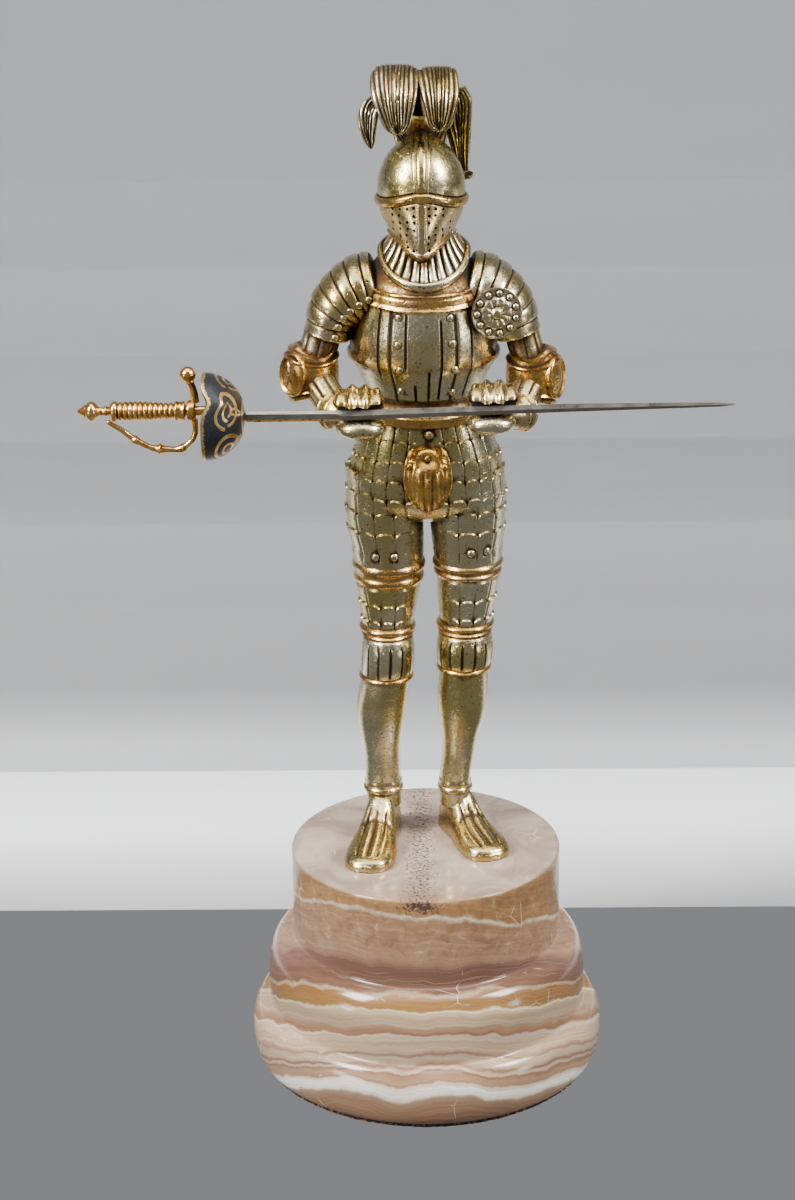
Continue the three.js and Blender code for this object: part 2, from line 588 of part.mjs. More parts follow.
function blade() {
  const { tang, root, step, tip, ricasso, width, thickness, tangWidth, tangThickness } = BLADE;
  // x, half width, half thickness, and the share of the width that the middle of the flat keeps.
  const rows = [
    [tang, tangWidth / 2, tangThickness / 2, 1], [root, tangWidth / 2, tangThickness / 2, 1],
    [root, ricasso / 2, thickness / 2, 0.5],
    [step, ricasso / 2, thickness / 2, 0.5],
    ...[0.02, 0.35, 0.65, 0.85].map((share) => {
      const taper = 1 - 0.62 * pow(share, 2.2);
      return [mix(step, tip, share), (width / 2) * taper, (thickness / 2) * taper, 0.1];
    }),
    [tip, 0.12, 0.1, 0.1],
  ];
  return skin(rows.map(([x, half, thick, flat]) =>
    [[1, 0.2], [flat, 1], [-flat, 1], [-1, 0.2], [-1, -0.2], [-flat, -1], [flat, -1], [1, -0.2]]
      .map(([up, out]) => at(x, SWORD_Y + thick * out, bladeHeight(x) + half * up))));
}

// Cup guard: a thin double shell, open towards the grip, whose rim dips where its two lobes meet.
const CUP = { rim: -66.2, floor: -53.7, radius: 13.4, bore: 1.7, wall: 1.2, dip: 2.4, around: 18, rows: 4 };

function cupGuard() {
  const shell = (radius, floor) => steps(0, PI / 2, CUP.rows).map((angle) =>
    steps(0, CUP.around - 1, CUP.around - 1).map((k) => {
      const a = (k / CUP.around) * TURN;
      const rim = CUP.rim + CUP.dip * bump(sin(a - 0.6), 0, 0.25) * max(0, cos(a - 0.6));
      const r = mix(CUP.bore, radius, sin(angle));
      return at(mix(rim, floor, cos(angle)), SWORD_Y - r * cos(a), BLADE.rootZ + r * sin(a));
    }));
  const outer = shell(CUP.radius, CUP.floor);
  const inner = shell(CUP.radius - CUP.wall, CUP.floor - CUP.wall).reverse();
  return skin([...outer, ...inner], true);
}

// Grip: from the pommel's tip to the neck that meets the tang, as [radius, x] pairs.
const GRIP = [
  [0, -104.1], [0.5, -103.9], [2, -101.5], [3.1, -99.8], [2.6, -98.1], [1.3, -96.4], [1.3, -94.8],
  [3.1, -92.8], [2.75, -91.4], [3.1, -83.5], [2.5, -75], [3.05, -74.2], [3.05, -71.6], [1.5, -71.4],
  [1.5, -65.4], [0, -65.4],
];

function grip() {
  return turned(GRIP, 10, HILT, AXIS);
}

function knuckleBow() {
  // Along the bow, from under the collar to the block before the cup: [x, drop below the grip's axis].
  const bow = [[-95.4, 3], [-91.4, 5.4], [-86.6, 9.4], [-79.6, 12], [-72.6, 11.6], [-68.6, 7.6], [-68.8, 2.7]];
  const thick = (t) => 0.8 + 0.4 * bump(t, 0.5, 0.22);
  const guard = sweep(bow.map(([x, drop]) => at(x, SWORD_Y, HILT_Z - drop)), 12, 6,
    (t) => [thick(t), thick(t)], { hint: at(0, 1, 0) });
  const foot = at(-70.9, SWORD_Y, HILT_Z);
  const block = turned([[1.9, 0], [3.3, 0], [3.3, 2.6], [1.9, 2.6], [1.9, 0]], 10, foot, AXIS);
  const quillon = sweep([at(-68.4, SWORD_Y, HILT_Z + 2.6), at(-68.9, SWORD_Y, HILT_Z + 6.4),
    at(-70.3, SWORD_Y, HILT_Z + 10)], 3, 6, (t) => [mix(1.5, 1.1, t), mix(1.5, 1.1, t)], { hint: at(0, 1, 0) });
  const ball = egg(at(-70.4, SWORD_Y, HILT_Z + 11.3), 2.5, 2.5, 2.5, 8, 5);
  return join([guard, block, quillon, ball]);
}

/** A named mesh of one closed body in its own material. */
function piece(name, body, material) {
  const { vertProperties, triVerts } = body.getMesh();
  const geometry = new THREE.BufferGeometry()
    .setAttribute("position", new THREE.BufferAttribute(vertProperties, 3))
    .setIndex(new THREE.BufferAttribute(triVerts, 1));
  geometry.computeVertexNormals();
  const mesh = new THREE.Mesh(geometry, new THREE.MeshStandardMaterial(colours[material]));
  mesh.name = name;
  return mesh;
}

const group = new THREE.Group();
group.add(
  piece("cork_pad", cork(), "cork"),
  piece("onyx_plinth", onyx(), "onyx"),
  piece("knight_figure", knight(), "brass"),
  piece("sword_blade", blade(), "steel"),
  piece("sword_cup_guard", cupGuard(), "niello"),
  piece("sword_grip", grip(), "gilt"),
  piece("sword_knuckle_bow", knuckleBow(), "gilt"),
);

export default group;
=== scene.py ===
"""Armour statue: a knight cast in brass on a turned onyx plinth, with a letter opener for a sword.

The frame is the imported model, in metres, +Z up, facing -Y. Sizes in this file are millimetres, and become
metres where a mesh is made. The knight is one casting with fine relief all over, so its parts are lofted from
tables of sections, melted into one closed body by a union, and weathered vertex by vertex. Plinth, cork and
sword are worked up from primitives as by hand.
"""

from __future__ import annotations

import json
import logging
import math
from collections.abc import Callable, Sequence
from dataclasses import dataclass, field
from enum import Enum

import bmesh
import bpy
import numpy as np
from mathutils import Matrix, Vector, kdtree
from mathutils.bvhtree import BVHTree

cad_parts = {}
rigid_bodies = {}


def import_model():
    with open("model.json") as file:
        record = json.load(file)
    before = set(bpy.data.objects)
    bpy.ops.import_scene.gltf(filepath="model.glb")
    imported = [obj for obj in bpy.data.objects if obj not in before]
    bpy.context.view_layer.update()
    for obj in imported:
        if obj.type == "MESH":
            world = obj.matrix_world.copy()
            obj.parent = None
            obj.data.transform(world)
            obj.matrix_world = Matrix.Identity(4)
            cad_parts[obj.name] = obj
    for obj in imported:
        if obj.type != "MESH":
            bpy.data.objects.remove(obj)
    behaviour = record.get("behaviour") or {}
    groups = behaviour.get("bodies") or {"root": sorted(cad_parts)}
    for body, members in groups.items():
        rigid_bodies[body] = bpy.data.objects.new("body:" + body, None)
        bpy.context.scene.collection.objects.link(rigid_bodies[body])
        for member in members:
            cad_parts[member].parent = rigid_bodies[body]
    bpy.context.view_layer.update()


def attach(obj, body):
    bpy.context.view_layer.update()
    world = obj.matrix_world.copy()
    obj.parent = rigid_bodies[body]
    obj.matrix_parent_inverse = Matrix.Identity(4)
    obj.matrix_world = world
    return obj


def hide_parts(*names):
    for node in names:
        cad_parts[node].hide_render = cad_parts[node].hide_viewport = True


LOG = logging.getLogger("armour_statue")
MM = 0.001
TURN = 2 * math.pi

Array = np.ndarray
Table = Sequence[Sequence[float]]
Triple = tuple[float, float, float]

# Shared measures of the figure, in millimetres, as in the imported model.
SOLE = 74.7
BODY_Y = 6.0
HEAD_Y = 4.0
HIP = 199.0
SWORD_Y = -25.0
HILT_Z = 229.8


class Side(Enum):
    """The viewer's left and right."""

    LEFT = -1
    RIGHT = 1


# --- Numbers along curves -------------------------------------------------------------------------


def along(stations: Table, t: Array | float) -> Array:
    """Values on smooth curves through stations.

    Args:
        stations: Rows of [t, value, value, ...] in rising t.
        t: Where to read them.

    Returns:
        One row of values for each t.
    """
    table = np.asarray(stations, float)
    where = np.clip(np.atleast_1d(t), table[0, 0], table[-1, 0])
    last = len(table) - 1
    i = np.clip(np.searchsorted(table[:, 0], where, side="left"), 1, last)
    a, b = table[i - 1], table[i]
    before, after = table[np.maximum(i - 2, 0)], table[np.minimum(i + 1, last)]
    span = (b[:, :1] - a[:, :1])
    u = (where[:, None] - a[:, :1]) / span
    slope_a = (b[:, 1:] - before[:, 1:]) / (b[:, :1] - before[:, :1]) * span
    slope_b = (after[:, 1:] - a[:, 1:]) / (after[:, :1] - a[:, :1]) * span
    h = u * u * (3 - 2 * u)
    return a[:, 1:] * (1 - h) + b[:, 1:] * h + u * (1 - u) * (slope_a * (1 - u) - slope_b * u)


def bump(x: Array, centre: float | Array, width: float | Array) -> Array:
    """A rounded rise of height 1 about a centre."""
    return np.exp(-(((x - centre) / width) ** 2))


def ramp(x: Array, low: float | Array, high: float | Array) -> Array:
    """A smooth step from 0 at low to 1 at high."""
    t = np.clip((x - low) / (high - low), 0, 1)
    return t * t * (3 - 2 * t)


def plateau(x: Array, low: float | Array, high: float | Array, edge: float) -> Array:
    """A band of height 1 between low and high with soft edges."""
    return ramp(x, low - edge, low) * (1 - ramp(x, high, high + edge))


def unit(v: Sequence[float] | Array) -> Array:
    """The same direction at length 1."""
    a = np.asarray(v, float)
    return a / np.linalg.norm(a, axis=-1, keepdims=True)


# --- Closed shells --------------------------------------------------------------------------------


@dataclass
class Shell:
    """A closed body of the casting before it is melted into the whole.

    Attributes:
        points: Its vertices, in millimetres.
        quads: Four-sided faces.
        tris: Three-sided faces.
        gilt: How gilded each vertex is, 0 to 1.
        patina_and_shade: How much extra patina and painted shade each vertex carries, 0 to 1.
    """

    points: Array
    quads: Array
    tris: Array
    gilt: Array
    patina_and_shade: Array

    def __post_init__(self) -> None:
        """Turns the faces outwards."""
        p = self.points
        q = self.quads.reshape(-1, 4)
        t = np.vstack([self.tris.reshape(-1, 3), q[:, [0, 1, 2]], q[:, [0, 2, 3]]])
        volume = np.einsum("ij,ij->i", p[t[:, 0]], np.cross(p[t[:, 1]], p[t[:, 2]])).sum()
        if volume < 0:
            self.quads = self.quads[:, ::-1]
            self.tris = self.tris[:, ::-1]

    def moved(self, mirror: bool = False, shift: Sequence[float] = (0, 0, 0)) -> Shell:
        """A copy, mirrored across the middle plane if asked, then shifted."""
        points = self.points.copy()
        if mirror:
            points[:, 0] *= -1
        return Shell(points + np.asarray(shift), self.quads, self.tris, self.gilt, self.patina_and_shade)

    def mesh(self, name: str) -> bpy.types.Mesh:
        """A Blender mesh of this shell, in metres."""
        data = bpy.data.meshes.new(name)
        faces = [tuple(f) for f in self.quads.tolist()] + [tuple(f) for f in self.tris.tolist()]
        data.from_pydata((self.points * MM).tolist(), [], faces)
        return data


def lattice_normals(rings: Array) -> Array:
    """Outward normals of a lattice of rings.

    Args:
        rings: Points as (ring, place round it, 3).

    Returns:
        Normals of the same shape.
    """
    around = np.roll(rings, -1, axis=1) - np.roll(rings, 1, axis=1)
    lengthwise = np.gradient(rings, axis=0)
    normals = np.cross(around, lengthwise)
    normals /= np.maximum(np.linalg.norm(normals, axis=2, keepdims=True), 1e-9)
    middle = rings.mean(axis=1, keepdims=True)
    outward = np.einsum("ijk,ijk->", normals, rings - middle)
    return normals if outward > 0 else -normals


def loft(
    rings: Array,
    relief: Array | float = 0.0,
    gilt: Array | float = 0.0,
    patina_and_shade: Array | float = 0.0,
    looped: bool = False,
) -> Shell:
    """A closed skin through rings, raised by a relief along its normals.

    Args:
        rings: Points as (ring, place round it, 3), in millimetres.
        relief: Height of the relief at each point.
        gilt: How gilded each point is.
        patina_and_shade: Extra patina and painted shade at each point.
        looped: The last ring meets the first, as on a torus, and there are no ends to close.

    Returns:
        The shell, its ends closed by a fan unless it is looped.
    """
    count_r, count_k = rings.shape[:2]
    shape = (count_r, count_k)
    heights = np.broadcast_to(relief, shape)[:, :, None]
    body = (rings + lattice_normals(rings) * heights).reshape(-1, 3)
    r = np.arange(count_r if looped else count_r - 1)[:, None]
    k = np.arange(count_k)[None, :]
    a = r * count_k + k
    b = r * count_k + (k + 1) % count_k
    up = ((r + 1) % count_r) * count_k
    quads = np.stack([a, b, up + (k + 1) % count_k, up + k], axis=2).reshape(-1, 4)
    gilts = np.broadcast_to(gilt, shape).reshape(-1)
    patina_and_shade_flat = np.broadcast_to(patina_and_shade, shape).reshape(-1)
    if looped:
        return Shell(body, quads, np.zeros((0, 3), int), gilts.copy(), patina_and_shade_flat.copy())
    first, final = body[:count_k].mean(axis=0), body[-count_k:].mean(axis=0)
    n = len(body)
    k = np.arange(count_k)
    following = (k + 1) % count_k
    start = (count_r - 1) * count_k
    tris = np.vstack([
        np.stack([np.full(count_k, n), following, k], axis=1),
        np.stack([np.full(count_k, n + 1), start + k, start + following], axis=1),
    ])
    return Shell(
        np.vstack([body, first, final]), quads, tris,
        np.append(gilts, [gilts[0], gilts[-1]]), np.append(patina_and_shade_flat, [patina_and_shade_flat[0], patina_and_shade_flat[-1]]),
    )


def level_rings(
    z: Array, x: Array | float, y: Array | float, wide: Array, front: Array, back: Array | None = None,
    azimuth: Array | int = 96, power: Array | float = 2.0,
) -> Array:
    """Level rings about the vertical, where azimuth 0 faces the viewer.

    Args:
        z: Height of each ring, or of each point as (ring, place).
        x: Middle of each ring across.
        y: Middle of each ring in depth.
        wide: Half the width of each ring.
        front: Reach towards the viewer.
        back: Reach away from the viewer, the same as front if left out.
        azimuth: The angles of the points, or how many to space evenly.
        power: Roundness, where 2 is an ellipse, more is squarer and less is keeled.

    Returns:
        Points as (ring, place, 3).
    """
    angles = np.arange(azimuth) / azimuth * TURN if isinstance(azimuth, int) else azimuth

    def column(v: Array | float) -> Array:
        a = np.asarray(v, float)
        return a[:, None] if a.ndim == 1 else a

    s, c = np.sin(angles)[None, :], np.cos(angles)[None, :]
    behind = front if back is None else back
    exponent = 2 / column(power)
    reach = np.where(c > 0, column(front), column(behind))
    across = column(x) + np.sign(s) * np.abs(s) ** exponent * column(wide)
    depth = column(y) - np.sign(c) * np.abs(c) ** exponent * reach
    height = column(z) + 0 * across
    return np.stack([across + 0 * height, depth + 0 * height, height], axis=2)


def path_frames(points: Table, hint: Sequence[float], count: int) -> tuple[Array, Array, Array, Array]:
    """Points, tangents and the two cross directions along a smooth path.

    Args:
        points: The path's own points.
        hint: The direction that the first cross direction stays near.
        count: How many stations to give.

    Returns:
        Points, tangents, sides and ups, one row for each station.
    """
    p = np.asarray(points, float)
    chord = np.append(0, np.cumsum(np.sqrt(np.linalg.norm(np.diff(p, axis=0), axis=1))))
    t = chord / chord[-1]
    fine = np.linspace(0, 1, 400)
    dense = along(np.column_stack([t, p]), fine)
    run = np.append(0, np.cumsum(np.linalg.norm(np.diff(dense, axis=0), axis=1)))
    even = np.linspace(0, run[-1], count)
    spots = np.column_stack([np.interp(even, run, dense[:, i]) for i in range(3)])
    tangents = unit(np.gradient(spots, axis=0))
    ups = unit(np.cross(tangents, np.asarray(hint, float)))
    sides = unit(np.cross(ups, tangents))
    return spots, tangents, sides, ups


def tube_rings(
    points: Table, hint: Sequence[float], count: int, around: int, across: Array, tall: Array
) -> Array:
    """Rings of an elliptical section along a path.

    Args:
        points: The path.
        hint: The direction that the section's first half axis stays near.
        count: Rings along the path.
        around: Points round each ring.
        across: First half axis at each ring.
        tall: Second half axis at each ring.

    Returns:
        Points as (ring, place, 3).
    """
    spots, _, sides, ups = path_frames(points, hint, count)
    angle = np.arange(around) / around * TURN
    c, s = np.cos(angle)[None, :, None], np.sin(angle)[None, :, None]
    return (spots[:, None] + c * sides[:, None] * np.asarray(across)[:, None, None]
            + s * ups[:, None] * np.asarray(tall)[:, None, None])


def disc_rings(
    centre: Sequence[float], normal: Sequence[float], radii: Array, rises: Array, around: int,
    squash: float = 1.0, upright: Sequence[float] = (0, 0, 1),
) -> Array:
    """Rings of a turned form about any axis.

    Args:
        centre: A point on the axis.
        normal: The axis.
        radii: Radius of each ring.
        rises: Distance of each ring along the axis, or of each point as (ring, place).
        around: Points round each ring.
        squash: Width across as a share of the height.
        upright: The direction that the section's tall axis stays near.

    Returns:
        Points as (ring, place, 3).
    """
    n = unit(normal)
    across = unit(np.cross(np.asarray(upright, float), n))
    up = np.cross(n, across)
    angle = np.arange(around) / around * TURN
    radius = np.asarray(radii)[:, None, None]
    flat = radius * (squash * np.cos(angle)[None, :, None] * across + np.sin(angle)[None, :, None] * up)
    rise = np.asarray(rises, float)
    rise = rise[:, None, None] if rise.ndim == 1 else rise[:, :, None]
    return np.asarray(centre) + flat + rise * n


def rivet(centre: Sequence[float], normal: Sequence[float], radius: float = 1.15, rise: float = 0.55,
          gilt: float = 0.0) -> Shell:
    """A round-headed rivet in its own ring of dark patina."""
    profile = np.array([[1.0, -1.2], [1.0, 0.05], [0.94, 0.2], [0.72, 0.72], [0.4, 0.95], [0.12, 1.0]])
    rises = np.where(profile[:, 1] > 0, profile[:, 1] * rise, profile[:, 1])
    patina_and_shade = np.array([1, 1, 0.8, 0, 0, 0])[:, None]
    return loft(disc_rings(centre, normal, profile[:, 0] * radius, rises, 14), gilt=gilt, patina_and_shade=patina_and_shade)


# --- Legs and hips --------------------------------------------------------------------------------


@dataclass(frozen=True)
class ScaleField:
    """Rows of round-topped plates on a limb, cut apart by upright lines.

    Attributes:
        columns: Plates round the limb.
        row: Height of a plate.
        arch: How far the top of a plate rises above its corners.
        step: How far the top of a plate stands over the one above.
        line: Depth of the upright lines.
    """

    columns: int
    row: float = 6.3
    arch: float = 2.0
    step: float = 0.62
    line: float = 0.34

    ACROSS = (-0.5, -0.44, -0.36, -0.2, 0.0, 0.2, 0.36, 0.44)
    UPWARD = (0.0, 0.05, 0.3, 0.62, 0.86, 0.95)
    HEIGHT = (-0.55, -0.5, -0.22, 0.1, 0.42, 0.46)

    def azimuths(self) -> Array:
        """Angles of the points round a ring, gathered at the upright lines."""
        centres = (np.arange(self.columns)[:, None] + np.array(self.ACROSS)[None, :]) / self.columns
        return (centres * TURN).reshape(-1)

    def across(self) -> Array:
        """Place of each point in its own column, from -0.5 to 0.44."""
        return np.tile(np.array(self.ACROSS), self.columns)

    def heights(self, low: float, high: float) -> tuple[Array, Array]:
        """Ring heights from low to high, and the relief of each.

        Args:
            low: Where the lowest row starts.
            high: Where the highest row ends.

        Returns:
            Heights, and the plates' relief as a share of the step.
        """
        rows = max(1, round((high - low) / self.row))
        pitch = (high - low) / rows
        z = low + pitch * (np.arange(rows)[:, None] + np.array(self.UPWARD)[None, :])
        return z.reshape(-1), np.tile(np.array(self.HEIGHT), rows)

    def lift(self) -> Array:
        """How far each point round a ring is raised by the arched tops."""
        s = np.abs(self.across()) * 2
        return self.arch * (np.sqrt(np.clip(1 - s**2, 0, 1)) - 0.72)

    def groove(self) -> Array:
        """Depth of the upright lines and the slight crown of each plate, round a ring."""
        s = np.abs(self.across()) * 2
        return 0.16 * (1 - s**2) - self.line * (s > 0.97)


@dataclass
class Leg:
    """One leg: greave, knee cop, scale cuisse with its gilt bands, and sabaton."""

    side: Side
    greave: Table = ()
    knee: Table = ()
    thigh: Table = ()
    bands: tuple[float, float] = (0, 0)
    heel: tuple[float, float] = (0, 0)
    toe: tuple[float, float] = (0, 0)
    half_foot: float = 7.8
    rivets: Sequence[tuple[float, float]] = ()
    scales: ScaleField = field(default_factory=lambda: ScaleField(12))

    @classmethod
    def left(cls) -> Leg:
        """The leg at the viewer's left."""
        return cls(
            Side.LEFT,
            greave=[[85, -13.6, 9, 5.7, 5.8], [95, -13.8, 9, 5.9, 6], [103.5, -14, 9.2, 6, 6.6],
                    [110, -14.15, 9.4, 6.9, 7.8], [117, -14.1, 9.2, 7.9, 8.6],
                    [124, -13.5, 8.4, 8.1, 8.6], [132, -12.2, 7.6, 7.7, 8.2]],
            knee=[[130.5, -12.4, 7, 8.1, 8.6], [135, -11.9, 6.6, 8.3, 9.4], [141, -11.6, 6.4, 8.2, 9.4],
                  [146, -11.7, 6.8, 7.9, 8.8], [149.5, -11.7, 7, 8.6, 9.2]],
            thigh=[[147, -11.7, 7.2, 7.9, 8.4], [158, -11.3, 7, 9.4, 10], [166, -11.1, 7, 10.6, 11],
                   [174, -11.3, 6.8, 11.3, 12], [186, -12.3, 6.6, 12.2, 13], [HIP, -12.6, 6.4, 11.6, 12.6]],
            bands=(163.9, 171.2), heel=(-12.4, 17.5), toe=(-19.6, -23.4), half_foot=7.9,
            rivets=((-15.2, 175.4), (-9.2, 175.4)),
        )

    @classmethod
    def right(cls) -> Leg:
        """The leg at the viewer's right."""
        return cls(
            Side.RIGHT,
            greave=[[85, 9.8, 9, 5, 5.6], [95, 9.9, 9, 5.1, 5.8], [103.5, 10.9, 9.2, 5.4, 6.4],
                    [110, 11.4, 9.4, 6.1, 7.4], [117, 12.1, 9.2, 7.6, 8.4],
                    [124, 12.3, 8.4, 8.1, 8.6], [134, 12.8, 7.6, 7.7, 8.2]],
            knee=[[133.5, 12.7, 7, 8, 8.6], [137, 12.9, 6.6, 8.6, 9.4], [142, 13.1, 6.4, 8.8, 9.4],
                  [147, 13.1, 6.8, 8.3, 8.8], [150.5, 13.2, 7, 8.8, 9.2]],
            thigh=[[147, 13.2, 7.2, 8, 8.4], [158, 13.7, 7, 9.2, 10], [166, 14, 7, 10, 11],
                   [174, 14, 6.8, 11, 12], [186, 14, 6.6, 12, 13], [HIP, 13.8, 6.4, 11.6, 12.6]],
            bands=(166.4, 171.4), heel=(7.6, 17.5), toe=(22.4, -14.6), half_foot=7.6,
            rivets=((14.9, 176.6), (20.0, 176.9)),
        )

    def shells(self) -> list[Shell]:
        """All bodies of this leg."""
        return [self.cuisse(), self.poleyn(), self.greave_shell(), self.ankle(), self.sabaton(),
                *self.rivet_heads()]

    def surface(self, x: float, z: float) -> tuple[Array, Array]:
        """The point of the thigh's front at x and z, and the way it faces."""
        cx, cy, wide, front = along(self.thigh, z)[0]
        s = np.clip((x - cx) / wide, -0.98, 0.98)
        c = math.sqrt(1 - s * s)
        return np.array([x, cy - front * c, z]), unit([s / wide, -c / front, 0])

    def rivet_heads(self) -> list[Shell]:
        """Two rivets above the gilt bands."""
        return [rivet(*self.surface(x, z), 1.35, 0.75) for x, z in self.rivets]

    def cuisse(self) -> Shell:
        """The thigh: plates above and below two gilt bands, smooth along its inner side."""
        low, high = self.bands
        field_ = self.scales
        z_low, h_low = field_.heights(self.thigh[0][0] - 1, low - 0.5)
        shares = np.array([0.0, 0.06, 0.13, 0.22, 0.31, 0.36, 0.4, 0.5, 0.58, 0.62, 0.7, 0.8, 0.9, 0.96, 1.0])
        hoops = np.array([0.0, 0.35, 0.8, 1.0, 0.8, 0.3, 0.05, 0.0, 0.05, 0.3, 0.85, 1.1, 0.85, 0.3, 0.0])
        z_band = low + (high - low) * shares
        z_plain = np.array([high + 0.4, high + 1.6, high + 3.2])
        z_high, h_high = field_.heights(high + 5.2, HIP + 4)
        z = np.concatenate([z_low, z_band, z_plain, z_high])
        plates = np.concatenate([h_low, 0 * z_band, 0 * z_plain, h_high])
        gilded = np.concatenate([0 * z_low, 0.25 + 0.75 * (hoops < 2), 0 * z_plain, 0 * z_high])
        raised = np.concatenate([0 * z_low, 0.75 * hoops, 0 * z_plain, 0 * z_high])
        free = 1 - plateau(z, low - 0.6, high + 2.2, 1.2)
        azimuths = field_.azimuths()
        inner = ramp(-np.sin(azimuths) * self.side.value, 0.55, 0.8)[None, :]
        heights = z[:, None] + field_.lift()[None, :] * free[:, None] * (1 - inner)
        x, y, wide, front = (along(self.thigh, heights.reshape(-1)).T.reshape(4, *heights.shape))
        rings = level_rings(heights, x, y, wide, front, azimuth=azimuths)
        relief = field_.step * plates[:, None] * (1 - inner) + field_.groove()[None, :] * (1 - inner) * free[:, None]
        return loft(rings, relief + raised[:, None], gilt=gilded[:, None] * 0.85)

    def poleyn(self) -> Shell:
        """The knee cop: a double rim above, upright lines over the front, a plain rim below."""
        low, high = self.knee[0][0], self.knee[-1][0]
        z = np.concatenate([
            [low - 0.2, low, low + 0.35, low + 0.8, low + 1.25, low + 1.6, low + 1.9],
            np.linspace(low + 2.6, high - 5.2, 12),
            [high - 4.4, high - 4.0, high - 3.5, high - 3.0, high - 2.6, high - 2.3, high - 1.9, high - 1.4,
             high - 0.8, high - 0.3, high, high + 0.2],
        ])
        rise = np.interp(z, [low - 0.2, low, low + 0.8, low + 1.25, low + 1.6, low + 2.2, high - 4.4, high - 4.0,
                             high - 3.5, high - 3.0, high - 2.6, high - 2.3, high - 1.9, high - 1.4,
                             high - 0.8, high - 0.3, high, high + 0.2],
                         [-1.2, 0.1, 0.75, 0.6, -0.1, 0.15, 0.2, -0.15, 0.1, 0.55, 0.3, 0.0, 0.35, 0.8, 0.75, 0.3,
                          -0.5, -1.6])
        lines = np.array([-1.12, -0.66, -0.22, 0.22, 0.66, 1.12]) + 0.12 * self.side.value
        spread = np.concatenate([line + np.array([-0.055, -0.02, 0.02, 0.055]) for line in lines])
        azimuths = np.sort(np.concatenate([np.linspace(-math.pi, math.pi, 60, endpoint=False), spread]))
        cut = sum(np.abs(azimuths - line) < 0.03 for line in lines).astype(float)
        zone = plateau(z, low + 3.0, high - 6.4, 0.9)
        swell = 1.1 * np.sin(np.clip((z - low) / (high - low), 0, 1) * math.pi)
        front = np.clip(np.cos(azimuths), 0, 1)
        relief = (rise[:, None] + zone[:, None] * (0.12 - 0.55 * cut[None, :])
                  + 0.8 * swell[:, None] * front[None, :] ** 2)
        x, y, wide, deep = along(self.knee, z).T
        gilt = np.clip(ramp(z, high - 4.6, high - 3.8) + 1 - ramp(z, low + 1.8, low + 3.2), 0, 1)
        return loft(level_rings(z, x, y, wide, deep, azimuth=azimuths), relief, gilt=gilt[:, None] * 0.9,
                    patina_and_shade=0.5 * (zone[:, None] * cut[None, :]))

    def greave_shell(self) -> Shell:
        """The shin, with a keel down its front."""
        z = np.linspace(self.greave[0][0], self.greave[-1][0], 46)
        x, y, wide, deep = along(self.greave, z).T
        rings = level_rings(z, x, y, wide, deep, azimuth=60)
        azimuths = np.arange(60) / 60 * TURN
        keel = 0.35 * bump((azimuths + math.pi) % TURN - math.pi, 0, 0.25)
        return loft(rings, keel[None, :] * plateau(z, 97, 128, 4)[:, None])

    def ankle(self) -> Shell:
        """The greave's lower rim, a rolled edge over the sabaton."""
        x, y, wide, deep = along(self.greave, 92.2)[0]
        profile = np.array([[-2.4, -1.0], [-2.2, 0.35], [-1.6, 0.75], [-0.9, 0.6], [-0.4, 0.15], [0.4, 0.35],
                            [1.2, 0.3], [2.0, 0.0], [2.4, -1.2]])
        z = 92.2 + profile[:, 0]
        rings = level_rings(z, x, y, np.full(9, wide), np.full(9, deep), azimuth=60)
        return loft(rings, profile[:, 1][:, None], gilt=0.4)

    def sabaton(self) -> Shell:
        """The foot: a rounded shoe with a sole, three lengthwise grooves and one across."""
        start, end = np.array([*self.heel, SOLE]), np.array([*self.toe, SOLE])
        forward = end - start
        length = np.linalg.norm(forward)
        ahead = forward / length
        across = np.array([ahead[1], -ahead[0], 0.0])
        table = [[0, 0.3, 6], [0.03, 0.52, 8.6], [0.1, 0.66, 12], [0.18, 0.72, 14.4], [0.34, 0.74, 15],
                 [0.42, 0.78, 12.2], [0.5, 0.84, 9.6], [0.6, 0.93, 7.6], [0.7, 0.99, 6.4], [0.84, 0.98, 5.2],
                 [0.93, 0.8, 4.2], [0.98, 0.5, 3.1], [1, 0.22, 1.9]]
        s = 0.5 - 0.5 * np.cos(np.linspace(0.06, math.pi - 0.04, 64))
        share, tall = along(table, s).T
        angle = np.linspace(-0.2, math.pi + 0.2, 45)
        c, v = np.cos(angle)[None, :], np.clip(np.sin(angle), 0, 1)[None, :]
        sole = 1.5
        side = np.sign(c) * np.abs(c) ** 0.8 * (self.half_foot * share)[:, None]
        height = np.where(v > 0, sole + v**0.85 * (tall - sole)[:, None], 0) * (np.sin(angle) > -0.01)[None, :]
        place = side / self.half_foot
        grooves = sum(bump(place, 0.44 * k * (0.35 + 0.65 * share[:, None]), 0.045) for k in (-1, 0, 1))
        lengthwise = plateau(s, 0.44, 0.9, 0.03)[:, None]
        cross = bump(s, 0.52 + 0.03 * 0, 0.008)[:, None] * (np.abs(place) < 0.62)
        welt = 0.5 * bump(height, 1.1, 0.7) * (v >= 0)
        cut = np.clip(lengthwise * grooves + cross, 0, 1) * (v > 0.25)
        points = (start + s[:, None, None] * forward + side[:, :, None] * across
                  + height[:, :, None] * np.array([0, 0, 1.0]))
        shell = loft(points, welt - 0.6 * cut, gilt=0.35, patina_and_shade=0.9 * cut)
        shell.points[:, 2] = np.maximum(shell.points[:, 2], SOLE)
        return shell


